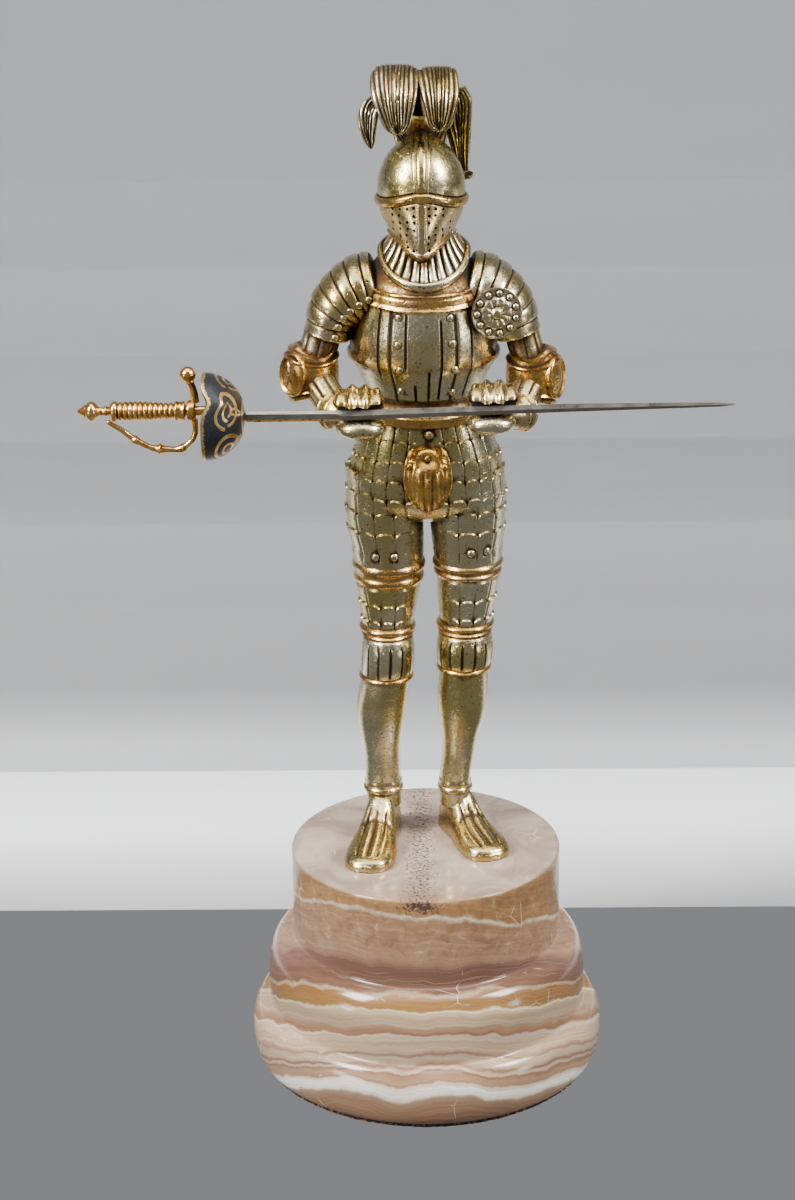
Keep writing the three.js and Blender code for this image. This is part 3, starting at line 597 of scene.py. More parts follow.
@dataclass
class Hips:
    """The scale skirt from the belt down, the gilt shell below the belt, and the button."""

    stations: Table = (
        (186, 1.0, 20.5, 8.6), (190, 1.1, 24.2, 13.0), (194, 1.1, 25.2, 15.0), (HIP, 0.8, 24.6, 15.8),
        (206.6, 1.1, 23.2, 16), (213, 0.9, 20.8, 15.8), (220.5, 0.6, 17.6, 15.0),
    )
    scales: ScaleField = field(default_factory=lambda: ScaleField(26, row=6.5))

    def shells(self) -> list[Shell]:
        """All bodies of the hips."""
        return [self.skirt(), *self.cod_shell(), self.button()]

    def skirt(self) -> Shell:
        """Rows of plates round the hips, plain down the middle of the front."""
        z, plates = self.scales.heights(188.2, 220.6)
        z = np.concatenate([[186.6], z, [220.9]])
        plates = np.concatenate([[-0.4], plates, [-0.4]])
        azimuths = self.scales.azimuths() + math.pi / 26
        plain = bump((azimuths + math.pi) % TURN - math.pi, 0.02, 0.24)[None, :]
        ends = plateau(z, 189, 216, 2)[:, None]
        heights = z[:, None] + self.scales.lift()[None, :] * ends * (1 - 0.7 * plain)
        x, wide, front = along(self.stations, heights.reshape(-1)).T.reshape(3, *heights.shape)
        rings = level_rings(heights, x, BODY_Y, wide, front, azimuth=azimuths, power=2.2)
        keep = 1 - ramp(plain, 0.5, 0.9)
        relief = (self.scales.step * plates[:, None] + self.scales.groove()[None, :]) * keep
        return loft(rings, relief)

    def cod_shell(self) -> list[Shell]:
        """A shield with a rolled rim and scrolls at its top, three studs, and a fluted boss."""
        spots = [[1.4, -8.4, 213.0], [1.4, -10.8, 209.8], [1.45, -11.9, 205], [1.5, -11.4, 200.6],
                 [1.6, -8.6, 195.6], [1.8, -3, 190]]
        count = 44
        t = np.linspace(0, 1, count)
        half = along([[0, 3.4], [0.1, 6.0], [0.28, 7.5], [0.5, 7.1], [0.72, 4.6], [0.88, 2.4], [1, 1.2]], t)[:, 0]
        deep = along([[0, 1.2], [0.1, 2.2], [0.3, 2.9], [0.6, 3.2], [1, 2.0]], t)[:, 0]
        rings = tube_rings(spots, (1, 0, 0), count, 72, half, deep)
        angle = np.arange(72) / 72 * TURN
        place = np.cos(angle)[None, :] * (half / 7.5)[:, None]
        faces = np.clip(np.sin(angle), 0, 1)[None, :] if rings[10, 18, 1] < rings[10, 54, 1] else \
            np.clip(-np.sin(angle), 0, 1)[None, :]
        upper = 1 - ramp(t, 0.3, 0.5)[:, None]
        rim = 0.5 * bump(np.abs(np.cos(angle))[None, :], 0.93, 0.05) * plateau(t, 0.02, 0.8, 0.05)[:, None]
        scroll = 0.55 * bump(np.hypot(place / 0.62, (t[:, None] - 0.36) / 0.27), 1.0, 0.16) * upper
        boss = 1.6 * np.clip(1 - (place / 0.6) ** 2, 0, 1) ** 0.5 * plateau(t, 0.3, 0.62, 0.14)[:, None]
        flutes = 0.28 * np.cos(place * 6.2 * math.pi) * plateau(t, 0.32, 0.8, 0.06)[:, None] * (np.abs(place) < 0.66)
        relief = rim + (scroll + boss + flutes) * faces**0.4
        patina_and_shade = np.clip(-flutes * 2.4, 0, 1) * faces + 0.8 * bump(np.abs(place), 0.66, 0.05) * faces * plateau(t, 0.3, 0.8, 0.1)[:, None]
        body = loft(rings, relief, gilt=1.0, patina_and_shade=patina_and_shade)
        studs = [rivet([1.4 + dx, y, z], n, 1.25, 1.2, gilt=1.0) for dx, y, z, n in (
            (-5.4, -13.0, 207.9, (-0.35, -1, 0.3)), (-0.2, -13.9, 210.6, (0, -1, 0.55)),
            (5.2, -13.2, 207.7, (0.35, -1, 0.3)))]
        return [body, *studs]

    def button(self) -> Shell:
        """The round button in its dark socket under the belt."""
        return rivet([1.9, BODY_Y - 15.6, 217.0], [0, -1, 0.05], 1.7, 1.6)


# --- Trunk ----------------------------------------------------------------------------------------


@dataclass
class Cuirass:
    """Breastplate, backplate, belt, yoke and gorget.

    Attributes:
        trunk: Rows of height, half width, front and back about the body's axis.
        lines: Upright lines cut in the breast, as azimuths, with the heights where each starts and ends.
        rivets: Rivets of the breast, as place across and height.
    """

    trunk: Table = (
        (216.5, 16.6, 14.8, 13.2), (218.5, 17.4, 15.6, 14), (222, 18.2, 17, 15), (225, 17.2, 15.6, 13.6),
        (227.5, 17.6, 15.8, 13.6), (231, 19.2, 17.6, 14.6), (234.5, 20.7, 19, 15.4), (238.5, 22.6, 20.4, 16.2),
        (245, 22.8, 21.2, 17), (252, 22, 21, 17.4), (258, 20.6, 20.2, 17), (263, 18.6, 18.8, 15.6),
        (267, 16, 15.6, 13.6), (271, 12.6, 12.2, 11.6), (276, 9.6, 9.6, 9.6),
    )
    lines: Sequence[tuple[float, float, float]] = (
        (-0.66, 236, 257), (-0.47, 228, 256.5), (-0.245, 239, 255.5), (0.245, 229, 254), (0.46, 228, 255),
        (0.70, 229, 256), (-0.13, 228, 233), (0.07, 228.5, 238),
    )
    rivets: Sequence[tuple[float, float]] = (
        (-7.2, 254.9), (-7.6, 246.6), (-6.9, 238.6), (-6.6, 231.2), (8.5, 254.7), (9.3, 246.8), (10.0, 238.4),
        (9.0, 230.6),
    )

    def shells(self) -> list[Shell]:
        """All bodies of the trunk."""
        return [self.body(), self.gorget(), *self.rivet_heads()]

    def section(self, z: Array) -> tuple[Array, Array, Array]:
        """Half width, front and back of the trunk at each height."""
        wide, front, back = along(self.trunk, z).T
        return wide, front, back

    def azimuths(self) -> Array:
        """Angles round the trunk, gathered at the cut lines."""
        near = np.concatenate([a + np.array([-0.03, -0.012, 0.012, 0.03]) for a, _, _ in self.lines])
        return np.sort(np.concatenate([np.linspace(-math.pi, math.pi, 120, endpoint=False), near]))

    def body(self) -> Shell:
        """The trunk from under the belt to the neck."""
        z = np.unique(np.concatenate([
            np.linspace(217, 219, 3), np.linspace(219.4, 223.2, 12), np.linspace(223.8, 230, 11),
            np.linspace(231, 256, 34), np.linspace(256.4, 264, 26), np.linspace(264.8, 275, 12)]))
        azimuths = self.azimuths()
        wide, front, back = self.section(z)
        rings = level_rings(z, 0.4, BODY_Y, wide, front, back, azimuth=azimuths)
        a, h = azimuths[None, :], z[:, None]
        ahead = np.cos(a)
        keel = 0.55 * bump(a, 0.02, 0.2) * plateau(h, 229, 255, 3)
        cut = sum(((np.abs(a - line) < 0.015) * plateau(h, low, high, 0.8)) for line, low, high in self.lines)
        armhole = sum(plateau(h, 240, 258, 3) * bump(a, s * (0.74 + 0.014 * (258 - h)), 0.03) for s in (-1, 1))
        armrim = sum(plateau(h, 240, 258, 3) * bump(a, s * (0.80 + 0.014 * (258 - h)), 0.035) for s in (-1, 1))
        low_edge = 256.6 + 2.2 * (1 - ahead) * (ahead > 0) + 2.4 * (ahead <= 0)
        top_edge = low_edge + 4.9
        band = plateau(h, low_edge, top_edge, 0.35)
        share = (h - low_edge) / 4.9
        beads = 0.28 * bump(share, 0.06, 0.06) + 0.34 * bump(share, 0.93, 0.07) - 0.2 * bump(share, 0.3, 0.05) \
            - 0.16 * bump(share, 0.75, 0.05)
        belt = plateau(h, 219.4, 222.4, 0.3)
        belt_lines = 0.22 * bump(h, 219.7, 0.35) + 0.26 * bump(h, 222.1, 0.4) - 0.15 * bump(h, 220.6, 0.2)
        waist = 0.45 * bump(h, 228.4, 0.7) - 0.35 * bump(h, 226.3, 0.9)
        lip = 1.0 * plateau(h, 238.6, 240.6, 0.8) * bump(np.abs(a), 1.5, 0.42)
        relief = (keel - 0.42 * np.clip(cut, 0, 1) - 0.35 * armhole + 0.4 * armrim + 0.6 * band + beads * band
                  + 0.55 * belt + belt_lines * belt + waist + lip)
        gilt = np.clip(0.95 * band + 0.95 * belt, 0, 1)
        yoke = ramp(h, top_edge, top_edge + 0.5)
        # The cut lines darken with patina; the yoke above the band and a strip between the belt and the waist ridge are
        # made darker.
        patina_and_shade = np.clip(0.8 * np.clip(cut, 0, 1) + 0.42 * yoke + 0.35 * plateau(h, 223.2, 226.6, 0.5), 0, 1)
        return loft(rings, relief, gilt=gilt, patina_and_shade=patina_and_shade)

    def rivet_heads(self) -> list[Shell]:
        """The rivets of the breastplate, set on its surface."""
        heads = []
        for x, z in self.rivets:
            wide, front, _ = (v[0] for v in self.section(np.array([z])))
            s = (x - 0.4) / wide
            c = math.sqrt(1 - s * s)
            heads.append(rivet([x, BODY_Y - front * c, z], [s / wide, -c / front, 0], 1.25, 0.6))
        return heads

    def gorget(self) -> Shell:
        """A round collar of petals on a rolled rim, low in front and high at the neck."""
        petals = 26
        across = np.array([-0.5, -0.42, -0.32, -0.18, 0.0, 0.18, 0.32, 0.42])
        azimuths = ((np.arange(petals)[:, None] + across) / petals * TURN).reshape(-1)
        s = np.tile(np.abs(across) * 2, petals)[None, :]
        # Share of the rim's radius, rise above it, and how much of the petals' relief it carries.
        profile = np.array([
            [0.90, -3.4, 0], [1.0, -2.4, 0], [1.05, -1.0, 0], [1.07, -0.2, 0], [1.06, 0.5, 0], [1.02, 1.05, 0],
            [0.98, 1.1, 0], [0.955, 0.75, 0], [0.935, 0.55, 0.1], [0.915, 0.85, 0.8], [0.89, 1.35, 1],
            [0.84, 2.2, 1], [0.78, 3.5, 1], [0.72, 5.0, 0.95], [0.67, 6.6, 0.85], [0.63, 8.2, 0.7],
            [0.6, 9.8, 0.5], [0.57, 11.5, 0.2],
        ])
        share, rise, fluted = profile.T[:, :, None]
        c = np.cos(azimuths)[None, :]
        reach = np.where(c > 0, 15.0, 12.0)
        y_rim = 2 - reach * c
        height = 264.5 + 0.553 * (np.minimum(y_rim, 2) + 13) + 0.22 * np.clip(y_rim - 2, 0, None)
        x = 0.7 + 13.4 * share * np.sin(azimuths)[None, :]
        y = 2 + (y_rim - 2) * share
        rings = np.stack([x, y + 0 * x, height + rise + 0 * x], axis=2)
        tongue = fluted * (0.85 * np.sqrt(np.clip(1 - s**2, 0, 1)) - 0.5)
        cut = fluted * (s > 0.8)
        # Black in the cuts between petals is patina; the extra darkening of the upper petals at the front, under the
        # chin, is painted shade.
        return loft(rings, tongue, patina_and_shade=0.9 * cut + 0.25 * (share < 0.8) * (c > 0.75))


# --- Head -----------------------------------------------------------------------------------------


@dataclass
class Helmet:
    """A close helmet: a round skull with a comb, a rolled brow band, and a keeled visor.

    Attributes:
        skull: Height, half width, front, back and rise of the dome.
        face: Rows from the brow down: height in front, height at the side, half width, front, back, roundness,
            relief, gilding.
        holes: Breath holes of the visor, as columns of place across, top, bottom and how many.
    """

    skull: tuple[float, float, float, float, float] = (290, 13.6, 14.4, 15.2, 17.1)
    face: Table = (
        (292.8, 289.7, 13.45, 14.3, 15.2, 2.0, 0.0, 0.0), (292.4, 289.3, 13.5, 14.3, 15.2, 2.0, -0.35, 0.0),
        (292.1, 289.0, 13.7, 14.6, 15.4, 2.0, 0.15, 0.5), (291.5, 288.4, 14.0, 15.0, 15.6, 2.0, 0.4, 0.8),
        (290.6, 287.5, 14.0, 15.1, 15.6, 2.0, 0.45, 0.8), (289.8, 286.7, 13.8, 15.1, 15.4, 2.0, 0.2, 0.8),
        (289.5, 286.3, 13.2, 14.8, 15.0, 1.95, -0.4, 0.3), (289.1, 286.0, 12.9, 14.9, 14.8, 1.9, 0.0, 0.5),
        (287.0, 285.0, 12.6, 15.4, 14.3, 1.8, 0.0, 0.5), (284.0, 283.5, 12.1, 16.0, 13.7, 1.68, 0.0, 0.5),
        (281.0, 282.0, 11.5, 16.4, 13.1, 1.6, 0.0, 0.5), (278.0, 280.4, 10.9, 16.5, 12.7, 1.55, 0.0, 0.5),
        (275.6, 279.2, 10.4, 16.3, 12.4, 1.52, 0.0, 0.5), (274.4, 278.6, 10.1, 16.1, 12.3, 1.5, 0.0, 0.5),
        (274.0, 278.4, 10.0, 16.0, 12.2, 1.5, 0.45, 0.8), (273.3, 278.0, 9.9, 15.9, 12.2, 1.5, 0.7, 0.8),
        (272.7, 277.4, 9.6, 15.6, 12.1, 1.5, 0.4, 0.8), (272.3, 277.0, 9.0, 15.0, 11.8, 1.5, -0.2, 0.2),
        (270.0, 272.5, 8.6, 12.0, 10.4, 1.8, 0.0, 0.0), (265.0, 265.0, 8.2, 8.4, 9.4, 2.0, 0.0, 0.0),
    )
    holes: Sequence[tuple[float, float, float, int]] = (
        (-8.6, 287.0, 280.4, 4), (-6.4, 287.4, 276.8, 6), (-4.3, 287.6, 275.6, 7), (-2.3, 287.7, 275.0, 7),
        (2.3, 287.7, 275.0, 7), (4.3, 287.6, 275.6, 7), (6.4, 287.4, 276.8, 6), (8.6, 287.0, 280.4, 4),
    )

    def shells(self) -> list[Shell]:
        """All bodies of the helmet."""
        return [self.head(), self.comb()]

    def head(self) -> Shell:
        """The skull and the visor in one skin."""
        level_z, wide, front, back, tall = self.skull
        around = 176
        azimuths = np.arange(around) / around * TURN
        rise = np.concatenate([[1.56, 1.5, 1.4], np.linspace(1.3, 0.24, 34)])
        share = np.cos(rise)
        dome = level_rings(level_z + tall * np.sin(rise), 0.0, HEAD_Y, wide * share, front * share, back * share,
                           azimuth=azimuths)
        table = np.array(self.face)
        steps = np.linspace(0, len(table) - 1, 96)
        rows = along(np.column_stack([np.arange(len(table)), table]), steps)
        fine = np.interp(steps, np.arange(len(table)), table[:, 6])
        gilded = np.interp(steps, np.arange(len(table)), table[:, 7])
        front_z, side_z, half, ahead, behind, power = rows[:, :6].T
        face = level_rings(front_z, 0.0, HEAD_Y, half, ahead, behind, azimuth=azimuths, power=power)
        aside = np.where(face[:, :, 1] < HEAD_Y, ramp(np.abs(face[:, :, 0]) / half[:, None], 0, 1.1), 1.0)
        face[:, :, 2] = front_z[:, None] + (side_z - front_z)[:, None] * aside
        visor = plateau(front_z, 274.6, 288.4, 0.8)[:, None]
        keel = 0.32 * plateau(face[:, :, 0], -1.05, 1.05, 0.25) * (face[:, :, 1] < HEAD_Y) * visor
        cusp = 0.5 * bump(face[:, :, 0], 0, 1.6) * bump(front_z, 289.6, 0.7)[:, None] * (face[:, :, 1] < HEAD_Y)
        temples = 0.2 * np.cos(azimuths * 44)[None, :] * bump(np.abs(np.sin(azimuths)), 0.97, 0.1)[None, :] \
            * plateau(front_z, 281, 287, 1.5)[:, None]
        relief = np.vstack([np.zeros((len(dome), around)), fine[:, None] + keel + cusp + temples * visor])
        gilt = np.vstack([np.zeros((len(dome), around)), gilded[:, None] + 0 * keel])
        return loft(np.vstack([dome, face]), relief, gilt=gilt)

    def comb(self) -> Shell:
        """The ridge over the crown, with a groove on each side."""
        _, _, front, back, tall = self.skull
        angle = np.linspace(0.1, 3.02, 70)
        out = np.stack([0 * angle, -np.cos(angle), np.sin(angle)], axis=1)
        reach = np.where(angle < math.pi / 2, front, back)
        foot = np.stack([0 * angle, HEAD_Y - np.cos(angle) * reach, self.skull[0] + np.sin(angle) * tall], axis=1)
        half = 1.75 + 0.75 * np.sin(angle)
        section = np.array([[-1.3, -1.3], [1.3, -1.3], [1.25, 0.05], [1.12, 0.32], [1.0, 0.4], [0.88, 0.22],
                            [0.78, 0.3], [0.62, 0.85], [0.35, 1.15], [0, 1.25], [-0.35, 1.15], [-0.62, 0.85],
                            [-0.78, 0.3], [-0.88, 0.22], [-1.0, 0.4], [-1.12, 0.32], [-1.25, 0.05]])
        rings = foot[:, None] + out[:, None] * section[None, :, 1:] + \
            np.array([1.0, 0, 0]) * section[None, :, :1] * half[:, None, None]
        ends = plateau(angle, 0.22, 2.9, 0.1)
        lower = out[:, None] * (section[None, :, 1:] > 0) * section[None, :, 1:] * (1 - ends)[:, None, None]
        return loft(rings - lower, gilt=0.25)

    def surface(self, x: float, z: float) -> tuple[Array, Array]:
        """The point of the visor at x and z, and the way it faces."""
        table = np.array(self.face)[::-1]
        row = np.column_stack([table[:, 0], table[:, 2:6]])
        half, ahead, _, power = along(row, z)[0]
        s = np.clip(abs(x) / half, 0, 0.98) ** (power / 2)
        c = math.sqrt(1 - s * s) ** (2 / power)
        slope = np.clip(abs(x) / half, 0, 0.98) ** (power - 1)
        return np.array([x, HEAD_Y - ahead * c, z]), unit([math.copysign(slope, x) * 1.2, -1, 0.05])

    def punches(self) -> list[Shell]:
        """The rods that pierce the visor, a little uneven as by hand."""
        rods = []
        rng = np.random.default_rng(7)
        for x, top, bottom, count in self.holes:
            for z in np.linspace(top, bottom, count):
                if rng.random() < 0.14:
                    continue
                at_x, at_z = x + rng.normal(0, 0.12), z + rng.normal(0, 0.15)
                centre, normal = self.surface(at_x, at_z)
                radius = 0.42 + 0.1 * rng.random()
                # The walls of each hole are painted black: patina, and painted shade for the dark inside behind the
                # visor.
                rods.append(loft(disc_rings(centre, normal, [radius * 0.7, radius, radius * 1.05],
                                            [-0.9 - 0.4 * rng.random(), -0.5, 1.6], 8), patina_and_shade=1.0))
        return rods


@dataclass
class Feather:
    """One feather of the plume.

    Attributes:
        spine: Points along it.
        half: Rows of share along it, half width, half thickness.
        barbs: How many barbs lie across its width.
        hollow: How deep its inner face is scooped.
        swirl: How far the barbs slant along it.
    """

    spine: Table
    half: Table
    barbs: int
    hollow: float = 0.0
    swirl: float = 0.0
    around: int = 128
    count: int = 64

    def shell(self) -> Shell:
        """The feather as a closed body with its barbs and midrib."""
        t = np.linspace(0, 1, self.count)
        ease = 0.5 - 0.5 * np.cos(t * math.pi)
        shares = 0.35 * t + 0.65 * ease
        across, thick = along(self.half, shares).T
        rings = tube_rings(self.spine, (1, 0, 0), 4 * self.count, self.around, np.ones(4 * self.count),
                           np.ones(4 * self.count))
        pick = shares * (4 * self.count - 1)
        low = np.clip(np.floor(pick).astype(int), 0, 4 * self.count - 2)
        blend = (pick - low)[:, None, None]
        centre = rings.mean(axis=1, keepdims=True)
        unit_rings = rings - centre
        centre = centre[low] * (1 - blend) + centre[low + 1] * blend
        frame = unit_rings[low] * (1 - blend) + unit_rings[low + 1] * blend
        angle = np.arange(self.around) / self.around * TURN
        side = frame[:, :1] * np.cos(angle)[None, :, None]
        up = frame[:, self.around // 4:self.around // 4 + 1] * np.sin(angle)[None, :, None]
        ends = np.sqrt(np.clip(1 - np.clip((shares - 0.94) / 0.06, 0, 1) ** 2, 0.02, 1))
        body = centre + (side * across[:, None, None] + up * thick[:, None, None]) * ends[:, None, None]
        place = np.cos(angle)[None, :]
        phase = (place * self.barbs / 2 + self.swirl * shares[:, None] * np.sign(place) + 0.2 * np.sin(9 * shares[:, None] + 4 * place))
        barb = 0.5 + 0.5 * np.cos(phase * TURN)
        carve = plateau(shares, 0.06, 0.985, 0.03)[:, None]
        relief = 0.62 * (barb**0.6 - 0.6) * carve
        inner = np.clip(np.sin(angle) * self.inner_sign(), 0, 1)[None, :]
        relief = relief - self.hollow * inner * (1 - place**2) * plateau(shares, 0.25, 1.1, 0.15)[:, None]
        return loft(body, relief, patina_and_shade=0.75 * (1 - barb) * carve)

    def inner_sign(self) -> float:
        """Which side of the section faces the head."""
        return 1.0


@dataclass
class Plume:
    """Five feathers from the back of the crown, and a holder."""

    def feathers(self) -> list[Feather]:
        """The feathers: two fall forward, one each side, one behind."""
        return [
            Feather([[-1.5, 11, 302], [-5.2, 10, 316], [-7.4, 3, 325.6], [-7.8, -5, 320.4], [-6.8, -8, 309.4]],
                    [[0, 2.5, 2.5], [0.25, 6, 3.6], [0.5, 6.6, 4], [0.75, 6.9, 4.4], [1, 3.2, 2.8]], 11, 1.2, 1.1),
            Feather([[1.5, 11, 302], [4, 10, 316], [5, 3, 324.9], [5.6, -5, 320], [5.4, -8, 310.4]],
                    [[0, 2.5, 2.5], [0.25, 5.4, 3.6], [0.5, 5.9, 4], [0.75, 6.2, 4.4], [1, 3, 2.8]], 10, 1.2, 1.0),
            Feather([[-3, 11, 303], [-9.5, 10, 315], [-15, 7, 314.6], [-16, 5, 309], [-15, 4, 303]],
                    [[0, 2, 2], [0.25, 3.4, 2.4], [0.5, 3.2, 2.6], [0.75, 3, 2.4], [1, 0.8, 0.8]], 6, 0.9, 1.2,
                    around=96, count=48),
            Feather([[3, 12, 303], [7.4, 12, 316], [10.8, 12, 316.5], [11.6, 14, 307], [13, 13, 293.5],
                     [15.8, 12, 294]],
                    [[0, 2, 2], [0.2, 4.6, 3.2], [0.4, 4.4, 3.2], [0.6, 3.8, 3.2], [0.85, 2.2, 2], [1, 1.2, 1]],
                    7, 1.0, 1.2, around=96, count=56),
            Feather([[0, 11, 303], [0, 14, 318], [0, 20.5, 316.5], [0, 22.5, 304], [0, 20, 290]],
                    [[0, 3, 3], [0.25, 7.2, 3.8], [0.5, 9, 4], [0.75, 8, 3.2], [1, 2.8, 1.4]], 10, 0.8, 1.4,
                    around=96, count=56),
        ]

    def shells(self) -> list[Shell]:
        """All bodies of the plume."""
        return [*(f.shell() for f in self.feathers()), self.holder()]

    def holder(self) -> Shell:
        """The socket on the crown that the feathers spring from."""
        spots = [[0, 11, 300], [0, 9.5, 305], [-0.5, 7, 311], [-0.5, 4, 316]]
        t = np.linspace(0, 1, 24)
        return loft(tube_rings(spots, (1, 0, 0), 24, 48, 3.4 + 2.6 * t, 3.2 + 1.6 * t), patina_and_shade=0.5)


# --- Arms -----------------------------------------------------------------------------------------


@dataclass
class Arm:
    """One arm: lamed pauldron, fluted tubes, gilt elbow cop with its wing, and the half-closed hand."""

    side: Side
    elbow: Triple = (0, 0, 0)
    wrist: Triple = (0, 0, 0)
    hand: tuple[float, float] = (0, 0)
    radius: float = 5.8
    wing: Triple = (0, 0, 0)
    shoulder: Table = (
        (0, 13.5, 5, 261.6, 9.4, 12), (0.25, 18.6, 4.6, 260, 10, 12.6), (0.5, 23.8, 4, 256.8, 9, 12),
        (0.75, 27.4, 3.4, 252.4, 7.8, 10.2), (1, 29.4, 3, 245.8, 6.4, 8.2),
    )
    lames: int = 7

    @classmethod
    def left(cls) -> Arm:
        """The arm at the viewer's left."""
        return cls(Side.LEFT, (-34.2, 0.5, 234.4), (-26, -12.5, 225.4), (-19.4, -19), 5.8, (-0.72, -0.68, 0.1))

    @classmethod
    def right(cls) -> Arm:
        """The arm at the viewer's right."""
        return cls(Side.RIGHT, (34.2, 0.5, 232.8), (29, -12.5, 225), (21.4, -19), 5.3, (0.88, -0.46, 0.05))

    def shells(self) -> list[Shell]:
        """All bodies of this arm."""
        shoulder = np.array([29.6, 3, 250]) * [self.side.value, 1, 1]
        return [
            self.pauldron(), self.tube(shoulder, self.elbow, self.radius, self.radius),
            self.tube(self.elbow, self.wrist, 5.6, 4.6), self.cop(), *self.plate(), *self.gauntlet(),
            *self.front_rivets(),
        ]

    def pauldron(self) -> Shell:
        """Overlapping lames, each proud at its lower edge, ending in a rolled rim."""
        parts = np.array([0.0, 0.05, 0.14, 0.35, 0.6, 0.8, 0.92, 0.98])
        proud = np.array([-0.35, -0.25, 0.05, 0.32, 0.45, 0.5, 0.45, 0.1])
        t = ((np.arange(self.lames)[:, None] + parts[None, :]) / self.lames).reshape(-1)
        rise = np.tile(proud, self.lames)
        rise = rise + 0.4 * bump(t, 0.975, 0.018)
        x, y, z, out, deep = along(self.shoulder, t).T
        ahead, behind = along(self.shoulder, np.minimum(t + 0.02, 1)), along(self.shoulder, np.maximum(t - 0.02, 0))
        run = ahead - behind
        up = unit(np.stack([-run[:, 2], 0 * t, run[:, 0]], axis=1))
        angle = np.arange(112) / 112 * TURN
        rings = (np.stack([x, y, z], axis=1)[:, None]
                 + np.cos(angle)[None, :, None] * np.array([0, 1.0, 0]) * deep[:, None, None]
                 + np.sin(angle)[None, :, None] * up[:, None] * out[:, None, None])
        rings[:, :, 0] *= self.side.value
        return loft(rings, rise[:, None], gilt=0.3, patina_and_shade=0.8 * (rise[:, None] < -0.1))

    def front_rivets(self) -> list[Shell]:
        """Rivets down the front corner of the lames: one on each lame of the arm at the viewer's left, a single one at
        the right.
        """
        heads = []
        for t in np.linspace(0.1, 0.93, self.lames if self.side is Side.LEFT else 1):
            x, y, z, _, deep = along(self.shoulder, t)[0]
            normal = unit([0.2 * self.side.value, -1, -0.1])
            heads.append(rivet([self.side.value * (x - 2.2), y - deep * 0.99, z - 1.0], normal, 1.3, 0.7))
        return heads

    def tube(self, start: Sequence[float], end: Sequence[float], first: float, last: float) -> Shell:
        """A fluted length of arm between two points."""
        a, b = np.asarray(start, float), np.asarray(end, float)
        t = np.linspace(0, 1, 30)
        radius = first + (last - first) * t
        rings = tube_rings([a, (a + b) / 2, b], (0, 1, 0), 30, 96, radius, radius)
        angle = np.arange(96) / 96 * TURN
        flutes = np.abs(np.sin(angle * 4.0)) ** 0.5
        return loft(rings, (0.5 * flutes - 0.3)[None, :], patina_and_shade=(0.7 * (flutes < 0.45) + 0.3)[None, :])

    def cop(self) -> Shell:
        """The elbow cop between double raised bands."""
        s = np.concatenate([[-1.0, -0.97], np.linspace(-0.93, 0.93, 58), [0.97, 1.0]])
        share = along([[-1, 0.6], [-0.72, 0.9], [-0.44, 0.98], [0.0, 1.0], [0.44, 0.98], [0.72, 0.9], [1, 0.6]], s)[:, 0]
        azimuth = 112
        angle = (np.arange(azimuth) / azimuth * TURN + math.pi) % TURN - math.pi
        front = np.clip(np.cos(angle - 0.3 * self.side.value * -1), 0, 1)[None, :]
        pinch = s[:, None] * (1 - 0.32 * front**2)
        outward = ramp(np.cos(angle - 0.9 * self.side.value), 0.2, 0.8)[None, :]
        z = self.elbow[2] + 9.2 * pinch
        rings = level_rings(z, self.elbow[0], self.elbow[1], 8.4 * share, 8.6 * share, azimuth=angle)
        mark = np.abs(s)[:, None] + 0 * front
        bands = 0.75 * bump(mark, 0.62, 0.055) + 0.85 * bump(mark, 0.84, 0.06) - 0.25 * bump(mark, 0.73, 0.04)
        return loft(rings, bands + 0 * outward, gilt=1.0, patina_and_shade=0.5 * bump(mark, 0.73, 0.05))

    def plate(self) -> list[Shell]:
        """The oval wing of the elbow, with a rolled edge and a scroll of rings."""
        normal = unit(self.wing)
        centre = np.asarray(self.elbow) + 7.6 * normal
        radii = np.array([6.2, 6.7, 6.9, 6.8, 6.4, 6.0, 5.6, 5.2, 4.6, 3.6, 2.4, 1.2, 0.3])
        rises = np.array([-4.0, -1.0, 0.2, 0.8, 1.1, 0.95, 0.55, 0.5, 0.7, 0.95, 1.15, 1.25, 1.3])
        around = 96
        angle = np.arange(around) / around * TURN
        x = radii[:, None] * np.cos(angle)
        y = radii[:, None] * np.sin(angle)
        relief = 0 * x
        spots = [(0.4, 0.2, 1.7), (-2.9, 2.3, 1.3), (-2.7, -2.4, 1.3)]
        for cx, cy, r in spots:
            relief = relief + 0.42 * bump(np.hypot(x - cx, y - cy), r, 0.3)
        inside = (radii < 5.3)[:, None]
        rings = disc_rings(centre, normal, radii, rises[:, None] + relief * inside, around, 0.82)
        return [loft(rings, gilt=1.0)]

    def place(self, out: float, ahead: float, rise: float) -> list[float]:
        """A point near where the blade crosses this palm."""
        x, y = self.hand
        return [x + out, y + ahead, blade_height(x) + rise]

